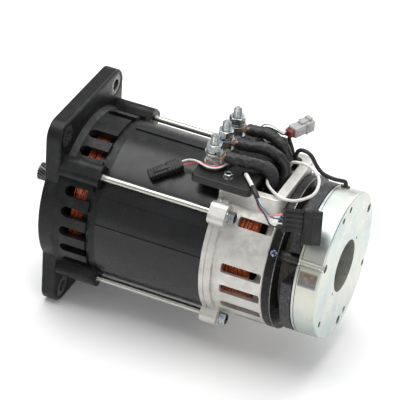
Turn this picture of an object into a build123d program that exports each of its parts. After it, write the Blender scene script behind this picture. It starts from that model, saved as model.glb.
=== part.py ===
from build123d import *

import math
import os

# Three-phase drive motor with a spring-applied brake on its rear end.
# Millimetres. Origin: centre of the drive-end flange's front face, on the shaft axis.
# +X runs from the flange to the brake, +Z points up to the terminal studs.
# Clock angles are measured round the shaft axis: 0 is +Z, 90 is +Y.

# Drive-end flange and bell
FLANGE_THICK = 15.0
FLANGE_WIDTH = 130.0
FLANGE_HEIGHT = 200.0
FLANGE_CORNER_R = 16.0
FLANGE_BOLT_Y = 50.0
FLANGE_BOLT_Z = 85.0
FLANGE_BOLT_R = 5.5
SPOT_FACE_R = 10.5
SPOT_FACE_DEPTH = 0.6
PILOT_R = 50.0
PILOT_LENGTH = 4.0
BELL_R = 77.0
BELL_ROOT_R = 79.0
BELL_ROOT_LENGTH = 6.5
BELL_WALL_R = 69.0
BELL_WALL_END = 48.0
REGISTER_R = 73.7
BELL_SLOT_ANGLES = (15, 30, 60, 75, 90, 105, 120, 150, 165)
BELL_SLOT_WIDTH = 10.0
BELL_SLOT_START = 22.0
FRONT_HUB_R = 40.0
FRONT_HUB_END = 31.0

# Tie rods
TIE_CIRCLE_R = 80.0
TIE_ANGLES = (45, 135, 225, 315)
TIE_ROD_R = 3.1
TIE_ROD_START = 30.0
TIE_LUG_WIDTH = 21.0
TIE_LUG_R = 88.0
TIE_BOSS_END = 54.0
TIE_HEAD_FLATS = 10.0
TIE_HEAD_HEIGHT = 6.0
TIE_WASHER_R = 5.7
TIE_WASHER_THICK = 1.4

# Stator
STATOR_R = 75.0
STATOR_BORE_R = 47.0
STATOR_START = 57.0
STATOR_END = 162.0
STATOR_SLOTS = 36
SLOT_BAR_WIDTH = 4.2
SLOT_BAR_R0 = 49.8
SLOT_BAR_R1 = 63.0
SLOT_MOUTH_WIDTH = 2.0
CLEAT_ANGLES = (8, 98, 188, 278)
CLEAT_WIDTH = 10.5
CLEAT_R0 = 73.6
CLEAT_R1 = 75.9
SEAM_ANGLE = -57.5
WINDING_FRONT_START = 25.0
WINDING_REAR_END = 205.0

# Rotor and shaft
ROTOR_R = 46.5
ROTOR_START = 60.0
ROTOR_END = 159.0
ROTOR_BARS = 28
ROTOR_BAR_R = 2.4
ROTOR_BAR_CIRCLE_R = 42.0
END_RING_R0 = 33.0
END_RING_R1 = 45.5
END_RING_THICK = 10.0
FAN_BLADES = 9
FAN_BLADE_LENGTH = 10.0
FAN_BLADE_THICK = 2.5
PINION_START = -36.5
PINION_END = -12.0
PINION_TEETH = 18
PINION_TIP_R = 8.45
PINION_ROOT_R = 6.65
PINION_TWIST = 68.0
SHAFT_NECK_R = 7.6
FRONT_SEAT_R = 12.5
ROTOR_SEAT_R = 15.0
REAR_SEAT_R = 10.0
BRAKE_SEAT_R = 9.0
SHAFT_END = 248.0

# Bearings: start, end, bore radius, outer radius, pitch radius, ball radius, ball count
FRONT_BEARING = (10.0, 27.0, 12.5, 31.0, 21.75, 5.5, 8)
REAR_BEARING = (204.0, 218.0, 10.0, 23.5, 16.75, 4.0, 8)
BALL_CLEARANCE = 0.05

# Rear bell
REAR_R = 73.0
REAR_RIM_R = 75.5
REAR_RIM_END = 173.0
REAR_END = 222.0
REAR_CAVITY_R = 69.0
REAR_WEB_START = 212.0
REAR_HUB_R = 31.0
REAR_HUB_START = 202.0
REAR_LUG_END = 178.0
REAR_SLOT_WIDTH = 9.6
REAR_SLOT_CORNER_R = 2.2
REAR_SLOT_ANGLES = (81, 99, 117, 153, 171)
REAR_SLOT_START = 181.5
REAR_LUG_SLOT_ANGLES = (45, 135)
REAR_LUG_SLOT_START = 187.0
REAR_GROOVE_X = 166.2
REAR_SLOT_END = 220.5
TURRET_HALF_Y = 41.0
TURRET_TOP = 77.0
TURRET_CORNER_R = 9.0
WINDOW_START = 176.0
WINDOW_END = 213.0
WINDOW_HALF_Y = 34.0

# Terminal block and its studs
BLOCK_START = 136.0
BLOCK_END = 194.0
BLOCK_HALF_Y = 49.0
BLOCK_THICK = 7.0
BLOCK_SCREW = (168.0, 37.0)
BLOCK_SCREW_R = 2.5
BLOCK_SCREW_HEAD_R = 4.6
BLOCK_SCREW_HEAD_HEIGHT = 4.2
STUD_X = 148.2
STUD_PITCH = 25.4
STUD_R = 4.0
STUD_TOP = 116.6
STUD_NECK_R = 3.8
STUD_NECK_TOP = 107.8
STUD_HOLE_R = 4.2
STUD_BASE_R = 12.5
STUD_BASE_TOP = 87.0
STUD_WASHER_R = 8.5
STUD_WASHER_THICK = 1.6
STUD_NUT_FLATS = 13.0
STUD_NUT_HEIGHT = 6.5
SPRING_WASHER_R = 7.2
SPRING_WASHER_THICK = 2.0
LUG_THICK = 2.5
LUG_TONGUE_END = 161.0
LUG_TONGUE_WIDTH = 10.0

# Spring-applied brake
BRAKE_R = 70.0
BRAKE_PLATE_R = 73.0
BRAKE_PLATE_END = 231.0
DISC_START = 231.2
DISC_END = 239.0
DISC_R = 55.0
ARMATURE_START = 239.2
ARMATURE_END = 249.0
ARMATURE_BORE_R = 22.0
NOTCH_FROM = -79.0
NOTCH_TO = -54.5
NOTCH_ROOT_R = 56.5
MAGNET_START = 249.6
MAGNET_END = 273.7
MAGNET_BORE_R = 25.0
CHANNEL_R = 3.6
COIL_R0 = 33.0
COIL_R1 = 54.0
COIL_END = 266.0
BRAKE_SCREW_CIRCLE_R = 62.0
BRAKE_SCREW_ANGLES = (60, 180, 300)
BRAKE_SCREW_R = 2.5
BRAKE_SCREW_HEAD_R = 4.0
BRAKE_SLEEVE_R = 4.8
SPRING_ANGLES = (0, 85, 120, 205, 240, 325)
SPRING_R = 3.5
JACKING_HOLES = ((0, 62.0, 3.0), (120, 62.0, 3.0), (240, 62.0, 3.0), (-15.5, 62.0, 3.0), (167, 60.5, 3.0))
SMALL_HOLES = ((60, 30.0, 1.5), (240, 30.0, 1.5))
HUB_TEETH = 16
HUB_TIP_R = 17.5
HUB_ROOT_R = 15.5
HUB_START = 229.0
HUB_END = 245.5
BRAKE_LEAD_X = 256.8
BRAKE_LEAD_ANGLE = 24.0

# Loose wiring: diameters and routes, points laid by hand from exit to far end
PHASE_LEAD_D = 10.0
PHASE_LEAD_U = ((161, -25.4, 96.35), (168.5, -25.4, 96.35), (178.5, -22.3, 95), (188.5, -17.5, 92.8),
                (198.6, -14.3, 88.6), (201.8, -13.4, 79.5), (199, -14, 63))
PHASE_LEAD_V = ((161, 0, 96.35), (168.5, 0, 96.35), (182, 3.2, 97), (190.5, 5.8, 93.8),
                (198.8, 6.4, 90.2), (205, 6.3, 84), (207.6, 4.5, 77), (206.6, 0.5, 69.5),
                (204, -3.2, 62.5))
PHASE_LEAD_W = ((161, 25.4, 96.35), (168, 25.4, 96.35), (177, 26.5, 97.6), (185.5, 25.6, 95.8),
                (195.5, 23, 91.5), (202, 20.8, 83), (203, 20.5, 73), (200.5, 18, 61.5))
BRAKE_LEAD_D = 3.8
BRAKE_LEAD = ((207.5, 26, 70), (207.2, 25.5, 81), (209.2, 24.3, 90.5), (214.7, 23, 93.6),
              (221.2, 21.5, 93.4), (225.8, 20.5, 90.1), (230.1, 20, 83.1), (235.1, 19.5, 78.5),
              (242.1, 20, 75.9), (248.4, 22.8, 73.6), (253.2, 27.2, 72), (256.8, 31.3, 70.3),
              (256.8, 29.08, 65.32))
LOOP_WIRE_D = 2.8
LOOP_WIRE = ((197.4, -15.2, 84.2), (198.8, -19.6, 79.3), (200.8, -22.4, 77.9), (206.1, -28, 78.2),
             (213, -34.2, 79.4), (219.5, -37.6, 79.6), (225.6, -38.4, 79.8), (231.5, -38.2, 80.6),
             (237.8, -37.2, 83), (243.4, -35.4, 86.1), (247.7, -32.6, 89.2), (249.1, -27, 91.7),
             (247.9, -20, 94.1), (244.5, -13, 95.7), (239.2, -8, 96.5), (232.7, -4, 97.1),
             (226.2, -1, 96.4), (218.9, 2, 93.7), (212.6, 6.8, 89.4), (208.8, 12.6, 83.5),
             (205.6, 13.6, 76), (203.8, 11, 66))
SENSOR_LEAD_D = 3.8
SENSOR_LEAD = ((180, -22.5, 68), (180.2, -24.2, 79.5), (181, -28, 86.7), (184.6, -32.6, 87),
               (191.2, -39.8, 86.5), (197.6, -46.2, 84.6), (202.6, -50.4, 80.4))
SENSOR_WIRE_D = 1.5
SENSOR_WIRES = {
    "pink": ((202.5, -49.2, 80), (204.3, -49.8, 75.2), (208.5, -52.1, 72.2), (215.1, -54.8, 72.6),
             (221.8, -60.6, 76.4), (227.3, -64.4, 80.8), (232.9, -61.5, 80.6)),
    "blue": ((202.1, -51, 81.3), (205.2, -53.1, 78), (211.5, -56.3, 76), (217.6, -59.8, 75),
             (222.8, -64, 75.4), (228.2, -66.2, 77.6), (233.9, -63.5, 77.3)),
    "white": ((203.1, -49.8, 81.3), (205.8, -52, 76.8), (211.9, -55.4, 74.5), (218.2, -59, 72.9),
              (223, -65.8, 72.2), (229, -68.4, 74.3), (234.8, -65.6, 74)),
    "black": ((201.5, -50.4, 80), (204.6, -53.7, 76.2), (211, -57.2, 74.2), (216.6, -61.2, 71.5),
              (222.6, -67.8, 69.4), (229.6, -70, 71.4), (235.6, -67.4, 71.2)),
}
TEMP_WIRE_WHITE_D = 1.8
TEMP_WIRE_WHITE = ((117.4, -26.2, 77.2), (121.6, -22.9, 78.9), (129, -27, 85.2), (136.4, -33.2, 89.4),
                   (141.7, -35.3, 88), (148.2, -37.3, 88), (154.9, -35.2, 88), (159.2, -29.4, 88),
                   (160.9, -21.5, 88), (165.8, -15.4, 86), (167.5, -12.6, 79))
TEMP_WIRE_RED_D = 1.5
TEMP_WIRE_RED = ((120.3, -29.1, 75.7), (124.5, -25.8, 77.4), (130.5, -28.6, 82.4), (136, -30.9, 88.2),
                 (142.5, -33.5, 88), (148.2, -35.3, 88), (153.9, -33.5, 88), (157.5, -28.8, 88),
                 (158.4, -22.5, 88), (164.5, -13.9, 86.4), (165.1, -12.7, 79))
SIGNAL_WIRE_D = 1.6
SIGNAL_WIRES = {
    "white": ((193.7, 34.9, 100.2), (191.7, 30.4, 100.6), (187, 29, 103.2), (180, 31.6, 104),
              (172.1, 34.8, 101.6), (167, 35, 95.5), (168.5, 33, 90.4), (173.5, 30.5, 87.2),
              (178, 29.5, 83), (178.5, 29, 77)),
    "black": ((195.7, 34.4, 98.4), (193.2, 28.8, 98.8), (185.5, 29, 101.3), (178.4, 31.1, 101.2),
              (171.5, 32.2, 99), (168.2, 31.4, 94.5), (170.6, 29.2, 89.2), (176.2, 27.4, 86.6),
              (180.2, 26.6, 82), (180.6, 26.4, 76)),
}
SIGNAL_LEAD_D = 3.6
SIGNAL_LEAD = ((196.1, 35.3, 96.3), (196.1, 35.3, 91.6), (199.8, 33.6, 86.8), (203, 30.8, 81),
               (203.4, 29.8, 74.5), (203, 28.8, 65.5))

# Connectors: a reference point, heading about Z, nose-down pitch and tilt place each one
SENSOR_PLUG_ORIGIN = (233.1, -64.2, 77.0)
SENSOR_PLUG_HEADING = 25.0
SENSOR_PLUG_PITCH = 3.0
SENSOR_PLUG_TILT = -35.0
SENSOR_PLUG_LENGTH = 17.0
SENSOR_PLUG_WIDTH = 12.0
SENSOR_PLUG_HEIGHT = 21.0
SENSOR_CAP_LENGTH = 17.5
SENSOR_CAP_HEIGHT = 31.0
TEMP_PLUG_CENTRE = (107.0, -37.0, 71.6)
TEMP_PLUG_LENGTH = 33.0
TEMP_PLUG_WIDTH = 12.5
TEMP_PLUG_HEIGHT = 9.6
SIGNAL_PLUG_ORIGIN = (197.1, 37.6, 99.0)
SIGNAL_PLUG_HEADING = 66.0
SIGNAL_BODY_LENGTH = 14.0
SIGNAL_PLUG_LENGTH = 24.5
SIGNAL_PLUG_WIDTH = 10.6
SIGNAL_PLUG_HEIGHT = 10.2
SIGNAL_WEDGE_LENGTH = 5.0


def disc(x0, x1, radius):
    """Solid cylinder along X."""
    stock = Cylinder(radius, x1 - x0, align=(Align.CENTER, Align.CENTER, Align.MIN))
    return Pos(x0, 0, 0) * Rot(0, 90, 0) * stock


def ring(x0, x1, outer, inner):
    """Hollow cylinder along X."""
    return disc(x0, x1, outer) - disc(x0 - 1, x1 + 1, inner)


def clock(angle, radius):
    """Y and Z of a point at a clock angle round the shaft axis."""
    turn = math.radians(angle)
    return radius * math.sin(turn), radius * math.cos(turn)


def rod(x0, x1, radius, angle, circle):
    """Cylinder along X at a clock angle on a bolt circle."""
    y, z = clock(angle, circle)
    return Pos(0, y, z) * disc(x0, x1, radius)


def post(x, y, z0, z1, radius):
    """Vertical cylinder."""
    stock = Cylinder(radius, z1 - z0, align=(Align.CENTER, Align.CENTER, Align.MIN))
    return Pos(x, y, z0) * stock


def turned(shape, angle):
    """Swing a shape from clock angle 0 to the given clock angle."""
    return Rot(-angle, 0, 0) * shape


def block(x0, x1, y0, y1, z0, z1):
    """Box between two corners."""
    centre = Pos((x0 + x1) / 2, (y0 + y1) / 2, (z0 + z1) / 2)
    return centre * Box(x1 - x0, y1 - y0, z1 - z0)


def radial_slot(x0, x1, width, r0, r1, angle):
    """Round-ended slot cutter that runs along X and cuts radially."""
    plan = Pos((x0 + x1) / 2, 0, r0) * SlotOverall(x1 - x0, width)
    return turned(extrude(plan, amount=r1 - r0), angle)


def tie_lug(x0, x1, angle):
    """Ear that carries one tie rod."""
    ear = block(x0, x1, -TIE_LUG_WIDTH / 2, TIE_LUG_WIDTH / 2, 60, TIE_LUG_R)
    outer = ear.faces().sort_by(Axis.Z)[-1].edges().filter_by(Axis.X)
    return turned(fillet(outer, 6.5), angle)


def hexagon(flats, height):
    """Hexagonal prism standing on XY."""
    outline = RegularPolygon(flats / 2, 6, major_radius=False)
    return extrude(outline, amount=height)


def cord(name, route, diameter):
    """Tube of straight runs joined by tangent arcs, each arc as large as its runs allow."""
    points = [Vector(*point) for point in route]
    radii = []
    for before, corner, after in zip(points, points[1:], points[2:]):
        arriving = corner - before
        leaving = after - corner
        turn = math.radians(arriving.get_angle(leaving))
        radii.append(0.45 * min(arriving.length, leaving.length) / math.tan(turn / 2))
    path = FilletPolyline(*points, radius=radii)
    section = Plane(origin=path @ 0, z_dir=path % 0) * Circle(diameter / 2)
    tube = sweep(section, path=path)
    expected = math.pi * diameter ** 2 / 4 * path.length
    print(f"{name}: length {path.length:.1f} mm, tightest arc {min(radii):.1f} mm,",
          f"volume ratio {tube.volume / expected:.3f}")
    return tube


# Drive end


def drive_end_bell():
    """Cast flange and slotted bell in one piece, with bearing hub and tie-rod bosses."""
    half_thick = FLANGE_THICK / 2
    plate = Pos(half_thick, 0, 0) * Box(FLANGE_THICK, FLANGE_WIDTH, FLANGE_HEIGHT)
    plate = fillet(plate.edges().filter_by(Axis.X), FLANGE_CORNER_R)
    plate = fillet(plate.faces().sort_by(Axis.X)[-1].edges(), 2.5)
    plate = fillet(plate.faces().sort_by(Axis.X)[0].edges(), 1.0)
    wall = disc(0, BELL_WALL_END, BELL_R)
    wall = fillet(wall.edges().sort_by(Axis.X)[0], 1.5)
    root = Cone(BELL_ROOT_R, BELL_R, BELL_ROOT_LENGTH, align=(Align.CENTER, Align.CENTER, Align.MIN))
    wall += Pos(FLANGE_THICK, 0, 0) * Rot(0, 90, 0) * root
    for angle in TIE_ANGLES:
        wall += tie_lug(FLANGE_THICK, TIE_BOSS_END, angle)
    wall -= disc(FLANGE_THICK, BELL_WALL_END + 20, BELL_WALL_R)
    slots = []
    for angle in BELL_SLOT_ANGLES:
        for side in (angle, -angle):
            slots.append(radial_slot(BELL_SLOT_START, 90, BELL_SLOT_WIDTH, 60, 90, side))
    bell = plate + (wall - slots)
    bell += ring(BELL_WALL_END, STATOR_START, REGISTER_R, BELL_WALL_R)
    bell += disc(FLANGE_THICK, FRONT_HUB_END, FRONT_HUB_R)
    bell += disc(-PILOT_LENGTH, 1, PILOT_R)
    bell -= disc(-PILOT_LENGTH, 8, 21.0)
    bell -= disc(0, FRONT_HUB_END + 1, 18.0)
    bell -= disc(FRONT_BEARING[0], FRONT_HUB_END + 1, FRONT_BEARING[3])
    bell -= ring(27.0, 28.6, 32.5, 30.0)
    for angle in TIE_ANGLES:
        bell -= rod(28, 90, TIE_ROD_R, angle, TIE_CIRCLE_R)
    for y in (-FLANGE_BOLT_Y, FLANGE_BOLT_Y):
        for z in (-FLANGE_BOLT_Z, FLANGE_BOLT_Z):
            bell -= Pos(0, y, z) * disc(-5, 30, FLANGE_BOLT_R)
            bell -= Pos(0, y, z) * disc(FLANGE_THICK - SPOT_FACE_DEPTH, 30, SPOT_FACE_R)
    return bell


def shaft_seal():
    """Lip seal behind the pilot, running on the front bearing journal."""
    seal = ring(0.5, 7.5, 21.0, 12.55)
    return seal - ring(4.0, 8.0, 19.0, 14.2)


def front_bearing_circlip():
    """Internal circlip behind the front bearing."""
    clip = ring(27.0, 28.6, 32.5, 28.5)
    return clip - block(26, 30, -5, 5, -40, -20)


# Bearings


def bearing_outer_ring(spec):
    """Outer race with its ball groove."""
    start, end, _, outer, pitch, ball, _ = spec
    race = ring(start, end, outer, pitch + 0.6 * ball)
    groove = Pos((start + end) / 2, 0, 0) * Rot(0, 90, 0) * Torus(pitch, ball + BALL_CLEARANCE)
    return race - groove


def bearing_inner_ring(spec):
    """Inner race with its ball groove."""
    start, end, bore, _, pitch, ball, _ = spec
    race = ring(start, end, pitch - 0.6 * ball, bore)
    groove = Pos((start + end) / 2, 0, 0) * Rot(0, 90, 0) * Torus(pitch, ball + BALL_CLEARANCE)
    return race - groove


def bearing_balls(spec):
    """Balls held by a thin cage, as separate solids."""
    start, end, _, _, pitch, ball, count = spec
    middle = (start + end) / 2
    half_cage = 0.75 * ball
    cage = ring(middle - half_cage, middle + half_cage, pitch + 0.9, pitch - 0.9)
    balls = []
    for index in range(count):
        y, z = clock(360 / count * index, pitch)
        balls.append(Pos(middle, y, z) * Sphere(ball))
    return Compound(children=[*(cage - balls).solids(), *balls])


# Stator


def slot_bars():
    """Straight parts of the winding, one bar in each stator slot."""
    bars = []
    for index in range(STATOR_SLOTS):
        bar = block(STATOR_START, STATOR_END, -SLOT_BAR_WIDTH / 2, SLOT_BAR_WIDTH / 2,
                    SLOT_BAR_R0, SLOT_BAR_R1)
        bars.append(turned(bar, 360 / STATOR_SLOTS * index))
    return bars


def cleat_bars():
    """Flat bars let into the outside of the lamination stack."""
    bars = []
    for angle in CLEAT_ANGLES:
        bar = block(STATOR_START, STATOR_END, -CLEAT_WIDTH / 2, CLEAT_WIDTH / 2, CLEAT_R0, CLEAT_R1)
        bars.append(turned(bar, angle))
    return bars


def stator_core():
    """Lamination stack with semi-closed slots on its bore."""
    core = ring(STATOR_START, STATOR_END, STATOR_R, STATOR_BORE_R)
    mouths = []
    for index in range(STATOR_SLOTS):
        mouth = block(STATOR_START - 1, STATOR_END + 1, -SLOT_MOUTH_WIDTH / 2,
                      SLOT_MOUTH_WIDTH / 2, STATOR_BORE_R - 2, SLOT_BAR_R0 + 0.5)
        mouths.append(turned(mouth, 360 / STATOR_SLOTS * index))
    core -= mouths
    core -= slot_bars()
    core -= cleat_bars()
    seam = block(STATOR_START - 1, STATOR_END + 1, -0.6, 0.6, STATOR_R - 0.5, STATOR_R + 2)
    return core - turned(seam, SEAM_ANGLE)


def stator_cleats():
    """The four cleat bars with their outer edges broken."""
    bars = []
    for bar in cleat_bars():
        bars += bar.solids()
    return Compound(children=bars)


def stator_winding():
    """Front and rear winding heads joined by the bars in the slots."""
    front = ring(WINDING_FRONT_START, STATOR_START, 65.0, 49.0)
    front = fillet(front.faces().sort_by(Axis.X)[0].edges(), 4.0)
    rear = ring(STATOR_END, WINDING_REAR_END, 64.0, 49.0)
    rear = fillet(rear.faces().sort_by(Axis.X)[-1].edges(), 4.0)
    return front + rear + slot_bars()


def tie_rods():
    """Four long screws that clamp the two bells on the stator, hexagon heads at the rear."""
    screws = []
    head_seat = REAR_LUG_END + TIE_WASHER_THICK
    for angle in TIE_ANGLES:
        y, z = clock(angle, TIE_CIRCLE_R)
        shank = rod(TIE_ROD_START, head_seat, TIE_ROD_R, angle, TIE_CIRCLE_R)
        head = Pos(head_seat, y, z) * Rot(0, 90, 0) * hexagon(TIE_HEAD_FLATS, TIE_HEAD_HEIGHT)
        screws.append(shank + head)
    return Compound(children=screws)


def tie_rod_washers():
    """Plain washers under the tie-rod heads."""
    washers = []
    for angle in TIE_ANGLES:
        y, z = clock(angle, TIE_CIRCLE_R)
        washer = ring(REAR_LUG_END, REAR_LUG_END + TIE_WASHER_THICK, TIE_WASHER_R, TIE_ROD_R)
        washers.append(Pos(0, y, z) * washer)
    return Compound(children=washers)


# Rear end


def brake_thread_holes():
    """Threaded holes that take the three brake screws."""
    return [rod(213.5, REAR_END + 20, BRAKE_SCREW_R, a, BRAKE_SCREW_CIRCLE_R) for a in BRAKE_SCREW_ANGLES]


def vent_slot(start, angle):
    """Cutter for one near-rectangular vent slot of the rear bell."""
    half = REAR_SLOT_WIDTH / 2
    cutter = block(start, REAR_SLOT_END, -half, half, 60, 90)
    return turned(fillet(cutter.edges().filter_by(Axis.Z), REAR_SLOT_CORNER_R), angle)


def rear_end_bell():
    """Cast rear bell with cable turret, lugs, vent slots and bearing hub."""
    bell = disc(STATOR_END, REAR_END, REAR_R)
    bell = chamfer(bell.edges().sort_by(Axis.X)[-1], 1.0)
    bell += disc(STATOR_END, REAR_RIM_END, REAR_RIM_R)
    turret = block(STATOR_END, REAR_END, -TURRET_HALF_Y, TURRET_HALF_Y, 0, TURRET_TOP)
    rear_corners = turret.edges().filter_by(Axis.Z).group_by(Axis.X)[-1]
    turret = fillet(rear_corners, TURRET_CORNER_R)
    top_outline = turret.faces().sort_by(Axis.Z)[-1].edges()
    bell += fillet(top_outline, 1.2)
    for angle in TIE_ANGLES:
        bell += tie_lug(STATOR_END, REAR_LUG_END, angle)
    bell -= disc(STATOR_END - 1, REAR_WEB_START, REAR_CAVITY_R)
    window = block(WINDOW_START, WINDOW_END, -WINDOW_HALF_Y, WINDOW_HALF_Y, 40, 100)
    bell -= fillet(window.edges().filter_by(Axis.Z), 6.0)
    slots = []
    for angle in REAR_SLOT_ANGLES:
        for side in (angle, -angle):
            slots.append(vent_slot(REAR_SLOT_START, side))
    for angle in REAR_LUG_SLOT_ANGLES:
        for side in (angle, -angle):
            slots.append(vent_slot(REAR_LUG_SLOT_START, side))
    bell -= slots
    bell -= ring(REAR_GROOVE_X, REAR_GROOVE_X + 0.8, REAR_RIM_R + 1, REAR_RIM_R - 0.6)
    bell += disc(REAR_HUB_START, REAR_WEB_START, REAR_HUB_R)
    bell -= disc(REAR_HUB_START - 1, 220, REAR_BEARING[3])
    bell -= disc(210, REAR_END + 1, 14.0)
    for angle in TIE_ANGLES:
        bell -= rod(STATOR_END - 1, REAR_LUG_END + 1, TIE_ROD_R + 0.2, angle, TIE_CIRCLE_R)
    bell -= brake_thread_holes()
    for side in (-1, 1):
        bell -= post(BLOCK_SCREW[0], side * BLOCK_SCREW[1], 66, 80, BLOCK_SCREW_R)
    return bell


def wave_spring():
    """Preload spring between the rear bearing and the web."""
    return ring(218.0, 220.0, 23.2, 20.0)


def speed_sensor():
    """Pick-up that reads the encoder ring, fixed to the bearing hub."""
    body = block(186, REAR_HUB_START, -7, 7, 25.2, 37)
    return fillet(body.edges().filter_by(Axis.X), 2.0)


# Terminal block


def stud_positions():
    """Y positions of the three phase studs."""
    return (-STUD_PITCH, 0.0, STUD_PITCH)


def terminal_block():
    """Moulded plate with three round stud bases and cable holes."""
    top = TURRET_TOP + BLOCK_THICK
    plate = block(BLOCK_START, BLOCK_END, -BLOCK_HALF_Y, BLOCK_HALF_Y, TURRET_TOP, top)
    plate = fillet(plate.edges().filter_by(Axis.Z), 5.0)
    plate = fillet(plate.faces().sort_by(Axis.Z)[-1].edges(), 1.4)
    for y in stud_positions():
        base = post(STUD_X, y, top - 1, STUD_BASE_TOP, STUD_BASE_R)
        plate += fillet(base.edges().sort_by(Axis.Z)[-1], 0.8)
    for y in stud_positions():
        plate -= post(STUD_X, y, 79, 100, STUD_NECK_R)
    for side in (-1, 1):
        plate -= post(BLOCK_SCREW[0], side * BLOCK_SCREW[1], 70, 100, BLOCK_SCREW_R + 0.2)
    plate -= post(180.3, -24.8, 70, 100, 4.0)
    plate -= post(166.3, -12.6, 70, 100, 3.2)
    plate -= post(179.4, 28, 70, 100, 4.4)
    return plate


def terminal_block_screws():
    """Two slotted screws that hold the block on the turret."""
    top = TURRET_TOP + BLOCK_THICK
    screws = []
    for side in (-1, 1):
        x, y = BLOCK_SCREW[0], side * BLOCK_SCREW[1]
        head = post(x, y, top, top + BLOCK_SCREW_HEAD_HEIGHT, BLOCK_SCREW_HEAD_R)
        head = fillet(head.edges().sort_by(Axis.Z)[-1], 1.0)
        screw = head + post(x, y, 66, top, BLOCK_SCREW_R)
        slot = block(x - 6, x + 6, y - 0.6, y + 0.6, top + 2.6, top + 10)
        screws.append(screw - slot)
    return Compound(children=screws)


LOWER_WASHER_Z = STUD_BASE_TOP
LOWER_NUT_Z = LOWER_WASHER_Z + STUD_WASHER_THICK
LUG_Z = LOWER_NUT_Z + STUD_NUT_HEIGHT
UPPER_WASHER_Z = LUG_Z + LUG_THICK
SPRING_WASHER_Z = UPPER_WASHER_Z + STUD_WASHER_THICK
UPPER_NUT_Z = SPRING_WASHER_Z + SPRING_WASHER_THICK


def terminal_studs():
    """M8 studs moulded into the block."""
    studs = []
    for y in stud_positions():
        end = post(STUD_X, y, STUD_NECK_TOP, STUD_TOP, STUD_R)
        end = chamfer(end.edges().sort_by(Axis.Z)[-1], 0.8)
        studs.append(end + post(STUD_X, y, 79, STUD_NECK_TOP, STUD_NECK_R))
    return Compound(children=studs)


def terminal_nuts():
    """Lower and upper hexagon nuts on each stud."""
    nuts = []
    for y in stud_positions():
        for z in (LOWER_NUT_Z, UPPER_NUT_Z):
            nut = Pos(STUD_X, y, z) * hexagon(STUD_NUT_FLATS, STUD_NUT_HEIGHT)
            nuts.append(nut - post(STUD_X, y, z - 1, z + 20, STUD_NECK_R))
    return Compound(children=nuts)


def stud_washers(levels, radius, thick):
    """One washer on each stud at each level."""
    washers = []
    for y in stud_positions():
        for z in levels:
            washer = post(STUD_X, y, z, z + thick, radius)
            washers.append(washer - post(STUD_X, y, z - 1, z + 10, STUD_HOLE_R))
    return Compound(children=washers)


def cable_lugs():
    """Copper ring tongues that carry the phase leads."""
    lugs = []
    for y in stud_positions():
        eye = post(STUD_X, y, LUG_Z, UPPER_WASHER_Z, 7.6)
        tongue = block(STUD_X, LUG_TONGUE_END, y - LUG_TONGUE_WIDTH / 2, y + LUG_TONGUE_WIDTH / 2,
                       LUG_Z, UPPER_WASHER_Z)
        lugs.append(eye + tongue - post(STUD_X, y, 90, 110, STUD_HOLE_R))
    return Compound(children=lugs)


# Rotor


def pinion():
    """Helical pinion cut on the shaft end."""
    tooth = 360 / PINION_TEETH
    corners = []
    for index in range(PINION_TEETH):
        for offset, radius in ((-0.42, PINION_ROOT_R), (-0.16, PINION_TIP_R),
                               (0.16, PINION_TIP_R), (0.42, PINION_ROOT_R)):
            turn = math.radians(tooth * (index + offset))
            corners.append((radius * math.cos(turn), radius * math.sin(turn)))
    length = PINION_END - PINION_START
    outline = make_face(Polyline(*corners, close=True))
    helix = Helix(pitch=length * 360 / PINION_TWIST, height=length, radius=1)
    axis = Line((0, 0, 0), (0, 0, length))
    gear = sweep(outline, path=axis, binormal=helix)
    return Pos(PINION_START, 0, 0) * Rot(0, 90, 0) * gear


def motor_shaft():
    """Stepped shaft with its integral pinion."""
    steps = ((PINION_END, -3, SHAFT_NECK_R), (-3, 27, FRONT_SEAT_R), (27, 196, ROTOR_SEAT_R),
             (196, REAR_BEARING[0], 12.5), (REAR_BEARING[0], REAR_END, REAR_SEAT_R),
             (REAR_END, SHAFT_END, BRAKE_SEAT_R))
    shaft = pinion()
    for start, end, radius in steps:
        shaft += disc(start, end, radius)
    shaft -= ring(HUB_END, HUB_END + 1.3, 12, 8.3)
    shaft -= disc(SHAFT_END - 6, SHAFT_END + 1, 2.0)
    return shaft


def rotor_bars():
    """Cage bars cast through the rotor laminations."""
    bars = []
    for i in range(ROTOR_BARS):
        bars.append(rod(ROTOR_START, ROTOR_END, ROTOR_BAR_R, i * 360 / ROTOR_BARS, ROTOR_BAR_CIRCLE_R))
    return bars


def rotor_core():
    """Rotor lamination stack."""
    core = ring(ROTOR_START, ROTOR_END, ROTOR_R, ROTOR_SEAT_R)
    return core - rotor_bars()


def rotor_cage():
    """Cast aluminium bars, end rings and fan blades."""
    front = ring(ROTOR_START - END_RING_THICK, ROTOR_START, END_RING_R1, END_RING_R0)
    rear = ring(ROTOR_END, ROTOR_END + END_RING_THICK, END_RING_R1, END_RING_R0)
    blades = []
    for index in range(FAN_BLADES):
        for x0 in (ROTOR_START - END_RING_THICK - FAN_BLADE_LENGTH, ROTOR_END + END_RING_THICK):
            blade = block(x0, x0 + FAN_BLADE_LENGTH, -FAN_BLADE_THICK / 2, FAN_BLADE_THICK / 2,
                          END_RING_R0 + 1, END_RING_R1 - 1)
            blades.append(turned(blade, 360 / FAN_BLADES * index))
    return front + rear + rotor_bars() + blades


def encoder_ring():
    """Magnet wheel that the speed sensor reads."""
    return ring(186, 193, 24.2, ROTOR_SEAT_R)


# Brake


def brake_flange_plate():
    """Friction plate screwed to the rear bell."""
    plate = disc(REAR_END, BRAKE_PLATE_END, BRAKE_PLATE_R)
    plate = chamfer(plate.edges().sort_by(Axis.X)[0], 1.2)
    plate = fillet(plate.edges().sort_by(Axis.X)[-1], 1.5)
    return plate - disc(REAR_END - 1, BRAKE_PLATE_END + 1, 20) - brake_thread_holes()


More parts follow.
